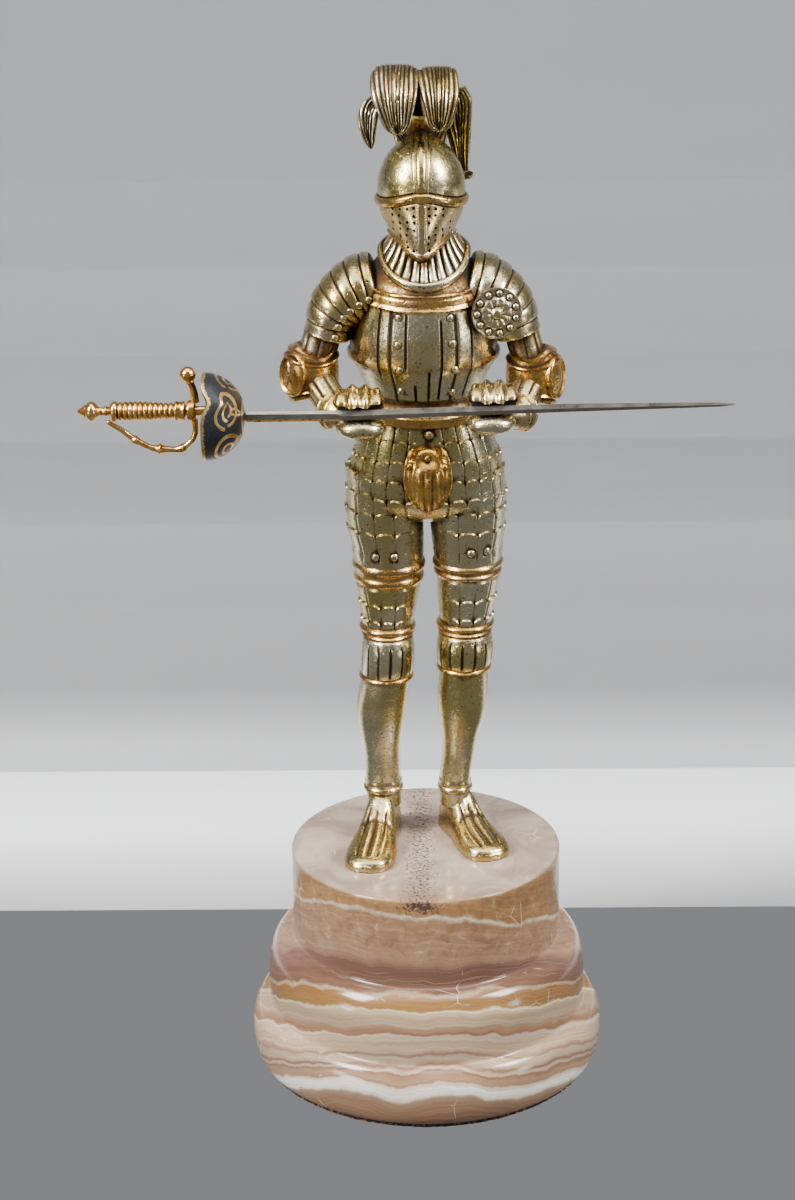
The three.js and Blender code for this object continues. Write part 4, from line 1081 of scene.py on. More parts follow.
    def gauntlet(self) -> list[Shell]:
        """Ribbed fingers over the blade, the palm and thumb under it, and the banded cuff."""
        half = 7.8
        t = np.linspace(0, 1, 60)
        spots = [self.place(-half, 0, 2), self.place(0, -0.4, 2.2), self.place(half, 0, 2)]
        rounded = np.sqrt(np.clip(1 - np.abs(2 * t - 1) ** 3, 0.04, 1))
        rings = tube_rings(spots, (0, 1, 0), 60, 72, 7.2 * rounded, 5.0 * rounded)
        ribs = -0.55 * np.cos(4 * TURN * t)
        fingers = loft(rings, (ribs * plateau(t, 0.08, 0.92, 0.06))[:, None], gilt=0.55)
        side = self.side.value
        palm = self.egg(self.place(-0.5 * side, 3, -1.2), (7.2, 4.6, 6.6))
        ball = self.egg(self.place(-0.6 * side, -1.6, -5.2), (7.6, 6.4, 3.7))
        wrist = np.asarray(self.wrist)
        axis = np.asarray(self.place(0, 0, -3)) - wrist
        radii = np.array([3.0, 5.0, 5.5, 5.4, 5.9, 6.2, 5.9, 5.5, 5.9, 5.7, 5.2, 5.0, 4.6, 4.2, 2.0])
        rises = np.array([-4.1, -4.0, -3.6, -3.1, -2.7, -2.1, -1.5, -1.1, -0.5, 0.2, 0.8, 2.0, 4.5, 7.0, 7.1])
        cuff = loft(disc_rings(wrist, axis, radii, rises, 72), gilt=0.6)
        return [fingers, palm, ball, cuff]

    @staticmethod
    def egg(centre: Sequence[float], radii: Triple, around: int = 72, count: int = 36) -> Shell:
        """A smooth rounded body."""
        rise = np.linspace(-1.54, 1.54, count)
        z = centre[2] + radii[2] * np.sin(rise)
        share = np.cos(rise)
        return loft(level_rings(z, centre[0], centre[1], radii[0] * share, radii[1] * share, azimuth=around))

    def hollow(self) -> Shell:
        """The space in the hand where the blade lies, open to the front."""
        clear = 1.8 + 0.3
        section = [[-9, -clear], [0.5, -clear], [1.4, 0.8], [-1, 3.4], [-4.4, 3.6], [-9, clear]]
        slope = (229.7 - 227.9) / 59.5
        rings = np.array([[self.place(out, a, rise + slope * out) for a, rise in section] for out in (-12, -6, 0, 6, 12)])
        # The faces that this cuts inside the hand are painted dark: patina, and painted shade where the fingers close
        # over the blade.
        return loft(rings, patina_and_shade=1.0)


def blade_height(x: float) -> float:
    """Height of the blade's middle line at x."""
    return float(along([[-24.8, 227.9], [-24.8 + 0.53 * 119.0, 229.7], [94.2, 230.6]], x)[0, 0])


@dataclass
class Besagew:
    """The round rosette hung before the viewer's right armpit."""

    centre: Triple = (22.6, -10.2, 255.4)
    normal: Triple = (0.22, -1, 0.05)
    radius: float = 7.9
    studs: int = 11

    def shells(self) -> list[Shell]:
        """The disc with petals round its boss, and its ring of studs."""
        shares = np.array([0.9, 0.97, 1.0, 1.0, 0.97, 0.93, 0.88, 0.8, 0.7, 0.62, 0.58, 0.52, 0.42, 0.32, 0.26,
                           0.22, 0.18, 0.12, 0.04])
        rises = np.array([-3.0, -0.6, 0.0, 0.3, 0.42, 0.3, 0.1, 0.1, 0.12, 0.3, 0.5, 0.62, 0.72, 0.7, 0.55, 1.1,
                          1.5, 1.75, 1.85])
        around = 132
        angle = np.arange(around) / around * TURN
        petals = 0.28 * np.abs(np.cos(angle * self.studs / 2))[None, :] * plateau(shares, 0.27, 0.58, 0.05)[:, None]
        disc = loft(disc_rings(self.centre, self.normal, self.radius * shares, rises[:, None] + petals, around))
        n = unit(self.normal)
        across = unit(np.cross([0, 0, 1.0], n))
        up = np.cross(n, across)
        heads = []
        for k in range(self.studs):
            a = TURN * (k + 0.5) / self.studs
            spot = np.asarray(self.centre) + 0.78 * self.radius * (math.cos(a) * across + math.sin(a) * up) + 0.1 * n
            heads.append(rivet(spot, n, 1.15, 0.95))
        return [disc, *heads]


# --- Melting the casting into one body ------------------------------------------------------------


@dataclass
class Knight:
    """The whole casting: every shell melted into one closed body and weathered."""

    shells: list[Shell] = field(default_factory=list)
    cutters: list[Shell] = field(default_factory=list)

    @classmethod
    def assemble(cls) -> Knight:
        """Gathers the shells of every part of the armour."""
        helmet = Helmet()
        arms = [Arm.left(), Arm.right()]
        legs = [Leg.left(), Leg.right()]
        parts = [Cuirass(), Hips(), helmet, Plume(), Besagew(), *arms, *legs]
        shells = [shell for part in parts for shell in part.shells()]
        return cls(shells, [*helmet.punches(), *(arm.hollow() for arm in arms)])

    def build(self) -> bpy.types.Object:
        """The finished casting."""
        body = self.melted()
        PatinaAndShade(body, self.shells + self.cutters).paint()
        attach(body, "root")
        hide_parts("knight_figure")
        return body

    def melted(self) -> bpy.types.Object:
        """One closed body: the union of the shells, less the cutters."""
        solid = self.collection("knight_parts", self.shells[1:])
        voids = self.collection("knight_voids", self.cutters)
        body = bpy.data.objects.new("knight_casting", self.shells[0].mesh("knight_casting"))
        bpy.context.collection.objects.link(body)
        bpy.context.view_layer.objects.active = body
        for name, operation, group in (("melt", "UNION", solid), ("pierce", "DIFFERENCE", voids)):
            if not group.objects:
                bpy.data.collections.remove(group)
                continue
            step = body.modifiers.new(name, "BOOLEAN")
            step.operand_type = "COLLECTION"
            step.operation = operation
            step.solver = "MANIFOLD"
            step.collection = group
            bpy.ops.object.modifier_apply(modifier=step.name)
            for part in list(group.objects):
                data = part.data
                bpy.data.objects.remove(part)
                bpy.data.meshes.remove(data)
            bpy.data.collections.remove(group)
        return body

    @staticmethod
    def collection(name: str, shells: list[Shell]) -> bpy.types.Collection:
        """A collection that holds each shell as an object."""
        group = bpy.data.collections.new(name)
        bpy.context.scene.collection.children.link(group)
        for i, shell in enumerate(shells):
            group.objects.link(bpy.data.objects.new(f"{name}_{i}", shell.mesh(f"{name}_{i}")))
        return group


@dataclass
class PatinaAndShade:
    """Marks each vertex of the casting: in a hollow, rubbed bright, gilded, and with extra patina and painted shade."""

    body: bpy.types.Object
    shells: list[Shell]
    rays: int = 12
    reach: float = 7.0

    def paint(self) -> None:
        """Writes the four marks of the casting and smooths its faces."""
        bpy.ops.object.select_all(action="DESELECT")
        self.body.select_set(True)
        bpy.context.view_layer.objects.active = self.body
        bpy.ops.object.shade_smooth_by_angle(angle=math.radians(50))
        points, edges = self.hollows()
        gilt, patina_and_shade = self.nearest(points)
        self.write("gilt", self.smooth(gilt, edges, 2))
        self.write("patina_and_shade", self.smooth(patina_and_shade, edges, 1))

    def write(self, name: str, values: Array) -> None:
        """Writes one mark as an attribute."""
        layer = self.body.data.attributes.new(name, "FLOAT", "POINT")
        layer.data.foreach_set("value", values.astype(np.float32))

    def hollows(self) -> tuple[Array, Array]:
        """Marks how hollow and how rubbed each vertex is.

        Returns:
            The vertices and the edges of the body.
        """
        data = self.body.data
        count = len(data.vertices)
        points = np.empty(count * 3)
        data.vertices.foreach_get("co", points)
        points = points.reshape(-1, 3)
        normals = np.empty(count * 3)
        data.vertex_normals.foreach_get("vector", normals)
        normals = normals.reshape(-1, 3)
        edges = np.empty(len(data.edges) * 2, int)
        data.edges.foreach_get("vertices", edges)
        edges = edges.reshape(-1, 2)
        hollow = self.smooth(self.occlusion(points, normals), edges, 1)
        bent = self.curvature(points, normals, edges)
        rub = np.clip(self.smooth(np.clip(-bent, 0, 1), edges, 1), 0, 1)
        dip = np.clip(self.smooth(np.clip(bent, 0, 1), edges, 1), 0, 1)
        self.write("hollow", np.clip(hollow + 0.35 * dip, 0, 1))
        self.write("rub", rub)
        return points, edges

    def occlusion(self, points: Array, normals: Array) -> Array:
        """How enclosed each vertex is, 0 in the open to 1 in a deep hollow."""
        tree = BVHTree.FromObject(self.body, bpy.context.evaluated_depsgraph_get())
        golden = math.pi * (3 - math.sqrt(5))
        directions = []
        for i in range(self.rays):
            c = 0.2 + 0.75 * (i + 0.5) / self.rays
            s = math.sqrt(1 - c * c)
            directions.append((s * math.cos(golden * i), s * math.sin(golden * i), c))
        helper = np.where(np.abs(normals[:, 2:3]) < 0.9, [[0.0, 0.0, 1.0]], [[1.0, 0.0, 0.0]])
        across = unit(np.cross(helper, normals) + 1e-12)
        up = np.cross(normals, across)
        limit = self.reach * MM
        start = points + normals * 0.03 * MM
        blocked = np.zeros(len(points))
        cast = tree.ray_cast
        for dx, dy, dz in directions:
            rays = across * dx + up * dy + normals * dz
            for i, (origin, ray) in enumerate(zip(start.tolist(), rays.tolist())):
                distance = cast(origin, ray, limit)[3]
                if distance is not None:
                    blocked[i] += 1 - 0.75 * distance / limit
        return np.clip(blocked / self.rays * 1.15, 0, 1)

    @staticmethod
    def curvature(points: Array, normals: Array, edges: Array) -> Array:
        """How the surface bends at each vertex: above 0 in grooves, below 0 on ridges."""
        a, b = edges.T
        line = points[b] - points[a]
        length = np.maximum(np.linalg.norm(line, axis=1), 1e-7)
        bend = np.einsum("ij,ij->i", normals[b] - normals[a], -line) / length
        total = np.bincount(a, bend, len(points)) + np.bincount(b, bend, len(points))
        number = np.bincount(a, minlength=len(points)) + np.bincount(b, minlength=len(points))
        return 1.6 * total / np.maximum(number, 1)

    @staticmethod
    def smooth(values: Array, edges: Array, rounds: int) -> Array:
        """Values averaged with their neighbours' a number of times."""
        a, b = edges.T
        count = len(values)
        number = np.bincount(a, minlength=count) + np.bincount(b, minlength=count)
        for _ in range(rounds):
            total = np.bincount(a, values[b], count) + np.bincount(b, values[a], count)
            values = 0.5 * values + 0.5 * total / np.maximum(number, 1)
        return values

    def nearest(self, points: Array) -> tuple[Array, Array]:
        """Gilding, and extra patina and painted shade, of the nearest vertex of the shells."""
        source = np.vstack([s.points for s in self.shells]) * MM
        gilt = np.concatenate([s.gilt for s in self.shells])
        patina_and_shade = np.concatenate([s.patina_and_shade for s in self.shells])
        tree = kdtree.KDTree(len(source))
        for i, p in enumerate(source.tolist()):
            tree.insert(p, i)
        tree.balance()
        found = np.array([tree.find(p)[1] for p in points.tolist()])
        return gilt[found], patina_and_shade[found]


# --- Pieces turned and worked from primitives -------------------------------------------------------


def finish_piece(piece: bpy.types.Object, name: str, finish: Finish, nodes: Sequence[str] = (),
                 angle: float = 40.0) -> bpy.types.Object:
    """Names, smooths and dresses a piece, and lets it stand for its nodes of the model.

    Args:
        piece: The object.
        name: Its name.
        finish: Its finish.
        nodes: The nodes that it replaces.
        angle: Edges sharper than this stay sharp, in degrees.

    Returns:
        The piece.
    """
    piece.name = name
    piece.data.name = name
    bpy.ops.object.select_all(action="DESELECT")
    piece.select_set(True)
    bpy.context.view_layer.objects.active = piece
    bpy.ops.object.transform_apply(location=True, rotation=True, scale=True)
    bpy.ops.object.shade_smooth_by_angle(angle=math.radians(angle))
    piece.data.materials.clear()
    piece.data.materials.append(finish.material())
    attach(piece, "root")
    if nodes:
        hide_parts(*nodes)
    LOG.info("%s: %d faces", name, len(piece.data.polygons))
    return piece


@dataclass
class Turning:
    """A body turned about an axis: a ring is drawn, then extruded and resized along a profile.

    Attributes:
        profile: Rows of radius and height, in millimetres.
        around: Points round the ring.
        looped: The last ring is the first again, so that the body is a thin shell with a bore.
    """

    profile: Table
    around: int = 96
    looped: bool = False

    def build(self) -> bpy.types.Object:
        """The turned body, upright on its axis through the origin."""
        rows = [[r * MM, h * MM] for r, h in self.profile]
        bpy.ops.object.select_all(action="DESELECT")
        bpy.ops.mesh.primitive_circle_add(vertices=self.around, radius=rows[0][0], location=(0, 0, 0))
        piece = bpy.context.object
        bpy.ops.object.mode_set(mode="EDIT")
        bpy.ops.mesh.select_all(action="SELECT")
        bpy.ops.transform.translate(value=(0, 0, rows[0][1]))
        if not self.looped:
            bpy.ops.mesh.edge_face_add()
            bpy.ops.mesh.poke()
            self.select_rim(piece, rows[0])
        for (r0, h0), (r1, h1) in zip(rows, rows[1:]):
            bpy.ops.mesh.extrude_edges_move(TRANSFORM_OT_translate={"value": (0, 0, h1 - h0)})
            bpy.ops.transform.resize(value=(r1 / r0, r1 / r0, 1), center_override=(0, 0, h1))
        if not self.looped:
            bpy.ops.mesh.edge_face_add()
            bpy.ops.mesh.poke()
        bpy.ops.mesh.select_all(action="SELECT")
        bpy.ops.mesh.remove_doubles(threshold=1e-6)
        bpy.ops.mesh.normals_make_consistent(inside=False)
        bpy.ops.object.mode_set(mode="OBJECT")
        return piece

    @staticmethod
    def select_rim(piece: bpy.types.Object, row: Sequence[float]) -> None:
        """Selects the first ring only, and not the middle of the face that closes it."""
        shape = bmesh.from_edit_mesh(piece.data)
        bpy.ops.mesh.select_all(action="DESELECT")
        for edge in shape.edges:
            edge.select_set(all(math.hypot(v.co.x, v.co.y) > row[0] / 2 for v in edge.verts))
        bmesh.update_edit_mesh(piece.data)


def arc(first: tuple[float, float], last: tuple[float, float], count: int, bulge: int = 1) -> list[list[float]]:
    """Rows of a quarter round from one point of a profile to another.

    Args:
        first: Radius and height where it starts.
        last: Radius and height where it ends.
        count: Steps along it.
        bulge: 1 leaves the first point upwards, -1 sideways.

    Returns:
        The rows after the first point.
    """
    (r0, h0), (r1, h1) = first, last
    rows = []
    for angle in np.linspace(0, math.pi / 2, count + 1)[1:]:
        c, s_ = math.cos(angle), math.sin(angle)
        a, b = (1 - c, s_) if bulge > 0 else (s_, 1 - c)
        rows.append([r0 + (r1 - r0) * a, h0 + (h1 - h0) * b])
    return rows


@dataclass
class Base:
    """The plinth of banded onyx and the cork pad under it."""

    top: float = 74.4
    flaw: Triple = (-1.8, -44.0, 72.4)

    def build(self) -> list[bpy.types.Object]:
        """Both pieces."""
        return [self.plinth(), self.cork()]

    def plinth(self) -> bpy.types.Object:
        """Three tiers with rounded shoulders, and a ragged flaw at the rim."""
        rows = [[56.0, 1.8], *arc((56.0, 1.8), (58.05, 10.0), 8, -1), *arc((58.05, 10.0), (53.4, 20.4), 14)]
        rows += [[52.7, 20.75], [52.42, 21.3], [52.38, 22.0], [52.36, 26.0], [52.35, 31.5]]
        rows += [*arc((52.35, 31.5), (45.6, 43.45), 16), [44.6, 43.8], [44.1, 44.3], [43.98, 45.2]]
        rows += [[43.97, z] for z in np.arange(48, 72.5, 1.7)] + [[43.97, 73.3], [43.8, 73.9], [43.5, 74.2]]
        rows += [[43.0, self.top - 0.04], [42.0, self.top - 0.01], [30, self.top], [15, self.top], [4, self.top]]
        piece = Turning(rows, 192).build()
        shape = bmesh.new()
        shape.from_mesh(piece.data)
        rng = np.random.default_rng(3)
        for vertex in shape.verts:
            x, y, z = (c / MM for c in vertex.co)
            away = math.hypot((x - self.flaw[0]) / 5.2, (z - self.flaw[2]) / 1.9)
            if y < -30 and away < 1.3:
                depth = (0.55 + 0.35 * rng.random()) * max(0.0, 1.3 - away)
                vertex.co.y += depth * MM
        shape.to_mesh(piece.data)
        shape.free()
        return finish_piece(piece, "onyx_block", Onyx("banded_onyx"), ["onyx_plinth"])

    def cork(self) -> bpy.types.Object:
        """The pad, its edge crumbled a little."""
        rows = [[54.6, 0.02], [55.25, 0.12], [55.32, 0.4], [55.34, 0.8], [55.3, 1.15], [55.2, 1.4], [54.4, 1.48]]
        piece = Turning(rows, 360).build()
        shape = bmesh.new()
        shape.from_mesh(piece.data)
        rng = np.random.default_rng(5)
        for vertex in shape.verts:
            reach = math.hypot(vertex.co.x, vertex.co.y)
            if reach > 0.055:
                vertex.co.xy *= 1 - (0.00032 * rng.random()) / reach
        shape.to_mesh(piece.data)
        shape.free()
        return finish_piece(piece, "cork_sole", CorkPad("cork_grain"), ["cork_pad"])


@dataclass
class Sword:
    """The small sword that serves as a letter opener.

    Attributes:
        grip: Not used; the rows of radius and place along X, from the pommel's tip to the neck, stand in handle().
        bow: Points of the knuckle bow, as place along X and drop under the axis, with its half thickness.
    """

    bow: Table = (
        (-95.4, 3.0, 0.75), (-93.6, 4.3, 0.8), (-91.0, 5.9, 0.85), (-88.4, 8.0, 0.95), (-86.6, 9.3, 1.25),
        (-85.4, 10.0, 0.9), (-83.0, 11.2, 0.85), (-81.2, 11.8, 1.0), (-79.4, 12.0, 1.45), (-77.6, 12.1, 1.0),
        (-75.2, 12.2, 0.85), (-73.2, 11.9, 1.25), (-71.6, 11.0, 0.95), (-69.6, 9.0, 0.85), (-68.7, 6.6, 0.9),
        (-68.7, 4.6, 1.0), (-68.8, 2.7, 1.05),
    )

    def build(self) -> list[bpy.types.Object]:
        """All pieces of the sword."""
        return [self.blade(), self.handle(), self.cup(), self.guard()]

    def laid(self, piece: bpy.types.Object, z: float) -> bpy.types.Object:
        """Lays an upright turning along X at a height."""
        piece.rotation_euler = (0, math.pi / 2, 0)
        piece.location = (0, SWORD_Y * MM, z * MM)
        return piece

    def blade(self) -> bpy.types.Object:
        """A hexagonal blade: a wide ricasso, a step, then a long taper whose bevels meet in a ridge."""
        rows = [(-65.05, 0.98, 0.88, 1.0), (-53.45, 0.98, 0.88, 1.0), (-53.35, 1.7, 0.85, 0.55), (-53.0, 1.78, 0.95, 0.5)]
        rows += [(x, 1.78 - 0.02 * i, 0.97, 0.5) for i, x in enumerate(np.linspace(-48, -27.4, 6))]
        rows += [(-25.6, 1.74, 0.97, 0.42), (-24.4, 1.6, 0.96, 0.16), (-23.2, 1.53, 0.96, 0.06)]
        for share in np.linspace(0.03, 1, 26):
            taper = 1 - 0.62 * share**2.2
            rows.append((-24.8 + 118.9 * share, 1.53 * taper, 0.97 * taper, 0.06))
        rows[-1] = (94.15, 0.1, 0.08, 0.06)
        rings = []
        for x, half, thick, flat in rows:
            profile = [(1.0, 0.12), (0.97, 0.22), (flat, 1.0), (-flat, 1.0), (-0.97, 0.22), (-1.0, 0.12),
                       (-1.0, -0.12), (-0.97, -0.22), (-flat, -1.0), (flat, -1.0), (0.97, -0.22), (1.0, -0.12)]
            rings.append([[x, SWORD_Y + thick * out, blade_height(x) + half * up] for up, out in profile])
        shell = loft(np.array(rings))
        piece = bpy.data.objects.new("blade", shell.mesh("blade"))
        bpy.context.collection.objects.link(piece)
        return finish_piece(piece, "sword_steel", BladeSteel("blade_steel"), ["sword_blade"], 12.0)

    def handle(self) -> bpy.types.Object:
        """Pommel, collar, ribbed grip, ferrule and neck, turned in one."""
        rows = [[0.25, -104.05], [0.6, -103.75], [1.15, -102.9], [1.65, -102.2], [2.0, -101.75], [1.85, -101.6],
                [2.3, -101.2], [2.75, -100.7], [3.02, -100.2], [3.08, -99.8], [3.0, -99.3], [2.7, -98.75],
                [2.2, -98.25], [1.6, -97.8], [1.3, -97.4], [1.2, -96.8], [1.25, -96.0], [1.5, -95.8], [1.62, -95.5],
                [1.5, -95.2], [1.2, -95.0], [1.25, -94.7], [1.8, -94.3], [2.5, -93.9], [2.95, -93.5], [3.08, -93.0],
                [3.08, -92.5], [2.85, -92.1], [2.35, -91.95]]
        ribs = 11
        start, end = -91.9, -75.0
        for rib in range(ribs):
            for part, rise in ((0.0, -0.32), (0.18, -0.06), (0.38, 0.16), (0.6, 0.2), (0.82, 0.02)):
                share = (rib + part) / ribs
                body = 2.6 + 0.32 * math.sin(math.pi * min(1.0, share * 1.25)) - 0.26 * share
                rows.append([body + rise, start + (end - start) * share])
        rows += [[2.2, -75.0], [2.3, -74.8], [2.85, -74.6], [3.03, -74.3], [3.03, -73.9], [2.8, -73.6], [2.8, -72.4],
                 [3.03, -72.1], [3.03, -71.75], [2.8, -71.62], [1.48, -71.42], [1.46, -68], [1.46, -65.6], [0.5, -65.45]]
        piece = self.laid(Turning(rows, 64).build(), HILT_Z)
        mark_hollows(piece)
        return finish_piece(piece, "sword_handle", GiltBrass("gilt_brass"), ["sword_grip"], 60.0)

    def cup(self) -> bpy.types.Object:
        """The cup guard: a thin shell whose rim dips where its lobes meet, inlaid with scrolls."""
        rim, floor, wide, wall, bore = -66.15, -53.75, 13.35, 1.15, 1.72
        rows = []
        for angle in np.linspace(0, math.pi / 2, 40):
            rows.append([bore + (wide - bore) * math.sin(angle), rim + (floor - rim) * math.cos(angle)])
        rows += [[wide - 0.25, rim - 0.02], [wide - wall / 2, rim - 0.04], [wide - wall + 0.2, rim]]
        for angle in np.linspace(math.pi / 2, 0, 30):
            rows.append([bore + (wide - wall - bore) * math.sin(angle), rim + (floor - wall - rim) * math.cos(angle)])
        rows.append(rows[0])
        piece = self.laid(Turning(rows, 144, True).build(), 227.9)
        bpy.ops.object.transform_apply(location=True, rotation=True, scale=True)
        self.shape_cup(piece)
        return finish_piece(piece, "sword_cup", Enamel("black_enamel"), ["sword_cup_guard"], 50.0)

    @staticmethod
    def shape_cup(piece: bpy.types.Object) -> None:
        """Dips the rim between the lobes and marks the gold scrolls and edges."""
        data = piece.data
        points = np.empty(len(data.vertices) * 3)
        data.vertices.foreach_get("co", points)
        points = points.reshape(-1, 3) / MM
        x, y, z = points.T
        y, z = y - SWORD_Y, z - 227.9
        reach = np.hypot(y, z)
        angle = np.arctan2(z, -y)
        near = ramp(reach, 10.0, 13.2)
        dip = 2.2 * bump(np.sin(angle - 0.6), 0, 0.25) * np.clip(np.cos(angle - 0.6), 0, None) * near
        outside = (x + 66.2) > 0.2
        rise = np.clip((x + 66.2) / 12.4, 0, 1)
        polar = np.arcsin(np.clip(reach / 13.4, 0, 1))
        gold = np.clip(bump(polar, 1.57, 0.13) + bump(polar, 0.32, 0.1), 0, 1)
        for turn in range(5):
            centre = TURN * (turn + 0.35) / 5
            gap = (angle - centre + math.pi) % TURN - math.pi
            u, v = gap * 13.4 * 0.62, (polar - 0.92) * 13.4
            away, way = np.hypot(u, v), np.arctan2(v, u)
            spiral = bump((away - 1.05 * (way / TURN + 0.6)) % 2.3 - 1.15, 0, 0.42) * (away < 4.2)
            leaf = bump(np.abs(u) - 0.9 * np.clip(1 - ((v + 3.6) / 3.2) ** 2, 0, 1), 0, 0.4) * (v < -1.2) * (v > -6)
            outer = bump(away, 4.4, 0.42) * (np.cos(way - 0.8) > -0.55)
            gold = np.maximum(gold, np.maximum(spiral, np.maximum(leaf, outer)))
        gold = np.where(outside, gold, bump(polar, 1.57, 0.13))
        points[:, 0] = x + dip
        layer = data.attributes.new("gilt", "FLOAT", "POINT")
        layer.data.foreach_set("value", gold.astype(np.float32))
        data.vertices.foreach_set("co", (points * MM).reshape(-1))

    def guard(self) -> bpy.types.Object:
        """The knuckle bow with its knots, the block before the cup, and the quillon with its ball."""
        bow = np.array(self.bow)
        spots = np.column_stack([bow[:, 0], np.full(len(bow), SWORD_Y), HILT_Z - bow[:, 1]])
        count = 150
        path, _, sides, ups = path_frames(spots, (0, 1, 0), count)
        chord = np.append(0, np.cumsum(np.linalg.norm(np.diff(spots, axis=0), axis=1)))
        thick = np.interp(np.linspace(0, chord[-1], count), chord, bow[:, 2])
        thick[:3] *= [0.4, 0.75, 0.95]
        knot = bump(np.linspace(0, 1, count), 0.51, 0.012) + bump(np.linspace(0, 1, count), 0.28, 0.01) \
            + bump(np.linspace(0, 1, count), 0.715, 0.01)
        thick = thick + 0.35 * knot
        angle = np.arange(24) / 24 * TURN
        rings = path[:, None] + (np.cos(angle)[None, :, None] * sides[:, None] + np.sin(angle)[None, :, None]
                                 * ups[:, None]) * thick[:, None, None]
        block = [[1.95, -70.88], [2.6, -70.86], [3.1, -70.7], [3.22, -70.4], [3.22, -68.9], [3.1, -68.6],
                 [2.6, -68.42], [1.95, -68.4]]
        ring = disc_rings((0, SWORD_Y, HILT_Z), (1, 0, 0), [r for r, _ in block], [x for _, x in block], 64)
        t = np.linspace(0, 1, 26)
        stem = tube_rings([[-68.5, SWORD_Y, HILT_Z + 2.6], [-68.9, SWORD_Y, HILT_Z + 6.2], [-70.2, SWORD_Y, HILT_Z + 9.9]],
                          (0, 1, 0), 26, 24, 1.35 - 0.3 * t + 0.3 * bump(t, 0.86, 0.06), 1.35 - 0.3 * t + 0.3 * bump(t, 0.86, 0.06))
        shells = [loft(rings), loft(ring, looped=True), loft(stem),
                  Arm.egg((-70.4, SWORD_Y, HILT_Z + 11.3), (2.42, 2.42, 2.42), 40, 22)]
        piece = Knight(shells, []).melted()
        mark_hollows(piece)
        return finish_piece(piece, "sword_bow", GiltBrass("gilt_bow"), ["sword_knuckle_bow"], 50.0)


def mark_hollows(piece: bpy.types.Object) -> None:
    """Writes how hollow each vertex lies as an attribute."""
    bpy.context.view_layer.update()
    PatinaAndShade(piece, []).hollows()


# --- Finishes -------------------------------------------------------------------------------------


def socket_colour(hex_code: str) -> tuple[float, float, float, float]:
    """A colour written as six digits, as linear values."""
    values = [int(hex_code[i:i + 2], 16) / 255 for i in (0, 2, 4)]
    linear = [v / 12.92 if v <= 0.04045 else ((v + 0.055) / 1.055) ** 2.4 for v in values]
    return (*linear, 1.0)


@dataclass
class Wiring:
    """A node tree under construction.

    Attributes:
        tree: The tree.
    """

    tree: bpy.types.NodeTree

    def add(self, kind: str, **settings: object) -> bpy.types.Node:
        """A new node with its settings."""
        node = self.tree.nodes.new(kind)
        for name, value in settings.items():
            setattr(node, name, value)
        return node

    def link(self, source: bpy.types.NodeSocket, target: bpy.types.NodeSocket) -> None:
        """Joins an output to an input."""
        self.tree.links.new(source, target)

    def feed(self, target: bpy.types.NodeSocket, value: object) -> None:
        """Puts a value or another node's output into an input."""
        if isinstance(value, bpy.types.NodeSocket):
            self.link(value, target)
        else:
            target.default_value = value

    def math(self, operation: str, a: object, b: object = 0.0, clamp: bool = False) -> bpy.types.NodeSocket:
        """One sum of two values."""
        node = self.add("ShaderNodeMath", operation=operation, use_clamp=clamp)
        self.feed(node.inputs[0], a)
        self.feed(node.inputs[1], b)
        return node.outputs[0]

    def noise(self, where: object, scale: float, detail: float = 3.0, roughness: float = 0.55,
              warp: float = 0.0) -> bpy.types.NodeSocket:
        """Cloudy noise."""
        node = self.add("ShaderNodeTexNoise")
        self.feed(node.inputs["Vector"], where)
        node.inputs["Scale"].default_value = scale
        node.inputs["Detail"].default_value = detail
        node.inputs["Roughness"].default_value = roughness
        node.inputs["Distortion"].default_value = warp
        return node.outputs["Fac"]

    def range(self, value: object, low: float, high: float, first: float = 0.0, last: float = 1.0,
              smooth: bool = True) -> bpy.types.NodeSocket:
        """A value carried from one range to another."""
        node = self.add("ShaderNodeMapRange", interpolation_type="SMOOTHSTEP" if smooth else "LINEAR")
        self.feed(node.inputs["Value"], value)
        for name, number in (("From Min", low), ("From Max", high), ("To Min", first), ("To Max", last)):
            node.inputs[name].default_value = number
        return node.outputs["Result"]

    def mix(self, share: object, a: object, b: object, blend: str = "MIX") -> bpy.types.NodeSocket:
        """Two colours mixed by a share."""
        node = self.add("ShaderNodeMix", data_type="RGBA", blend_type=blend)
        self.feed(node.inputs[0], share)
        self.feed(node.inputs[6], a)
        self.feed(node.inputs[7], b)
        return node.outputs[2]

    def pits(self, where: object, scale: float, size: float) -> bpy.types.NodeSocket:
        """Small round pits, 1 inside them."""
        cells = self.add("ShaderNodeTexVoronoi", feature="F1")
        self.feed(cells.inputs["Vector"], where)
        cells.inputs["Scale"].default_value = scale
        return self.range(cells.outputs["Distance"], size, size + 0.12, 1.0, 0.0)

    def bump(self, shader: bpy.types.Node, height: object, strength: float, distance: float) -> None:
        """Raises the surface by a height."""
        node = self.add("ShaderNodeBump")
        node.inputs["Strength"].default_value = strength
        node.inputs["Distance"].default_value = distance
        self.feed(node.inputs["Height"], height)
        self.link(node.outputs["Normal"], shader.inputs["Normal"])

    def marks(self, name: str) -> bpy.types.NodeSocket:
        """The values of a named attribute."""
        return self.add("ShaderNodeAttribute", attribute_name=name).outputs["Fac"]

    def place(self) -> bpy.types.NodeSocket:
        """The place on the object, in metres."""
        return self.add("ShaderNodeTexCoord").outputs["Object"]


@dataclass(frozen=True)
class Finish:
    """A surface finish, built once as a material."""

    name: str

    def material(self) -> bpy.types.Material:
        """The material of this finish."""
        made = bpy.data.materials.new(self.name)
        made.use_nodes = True
        wiring = Wiring(made.node_tree)
        shader = made.node_tree.nodes["Principled BSDF"]
        self.dress(wiring, shader)
        return made

    def dress(self, wiring: Wiring, shader: bpy.types.Node) -> None:
        """Feeds the shader."""


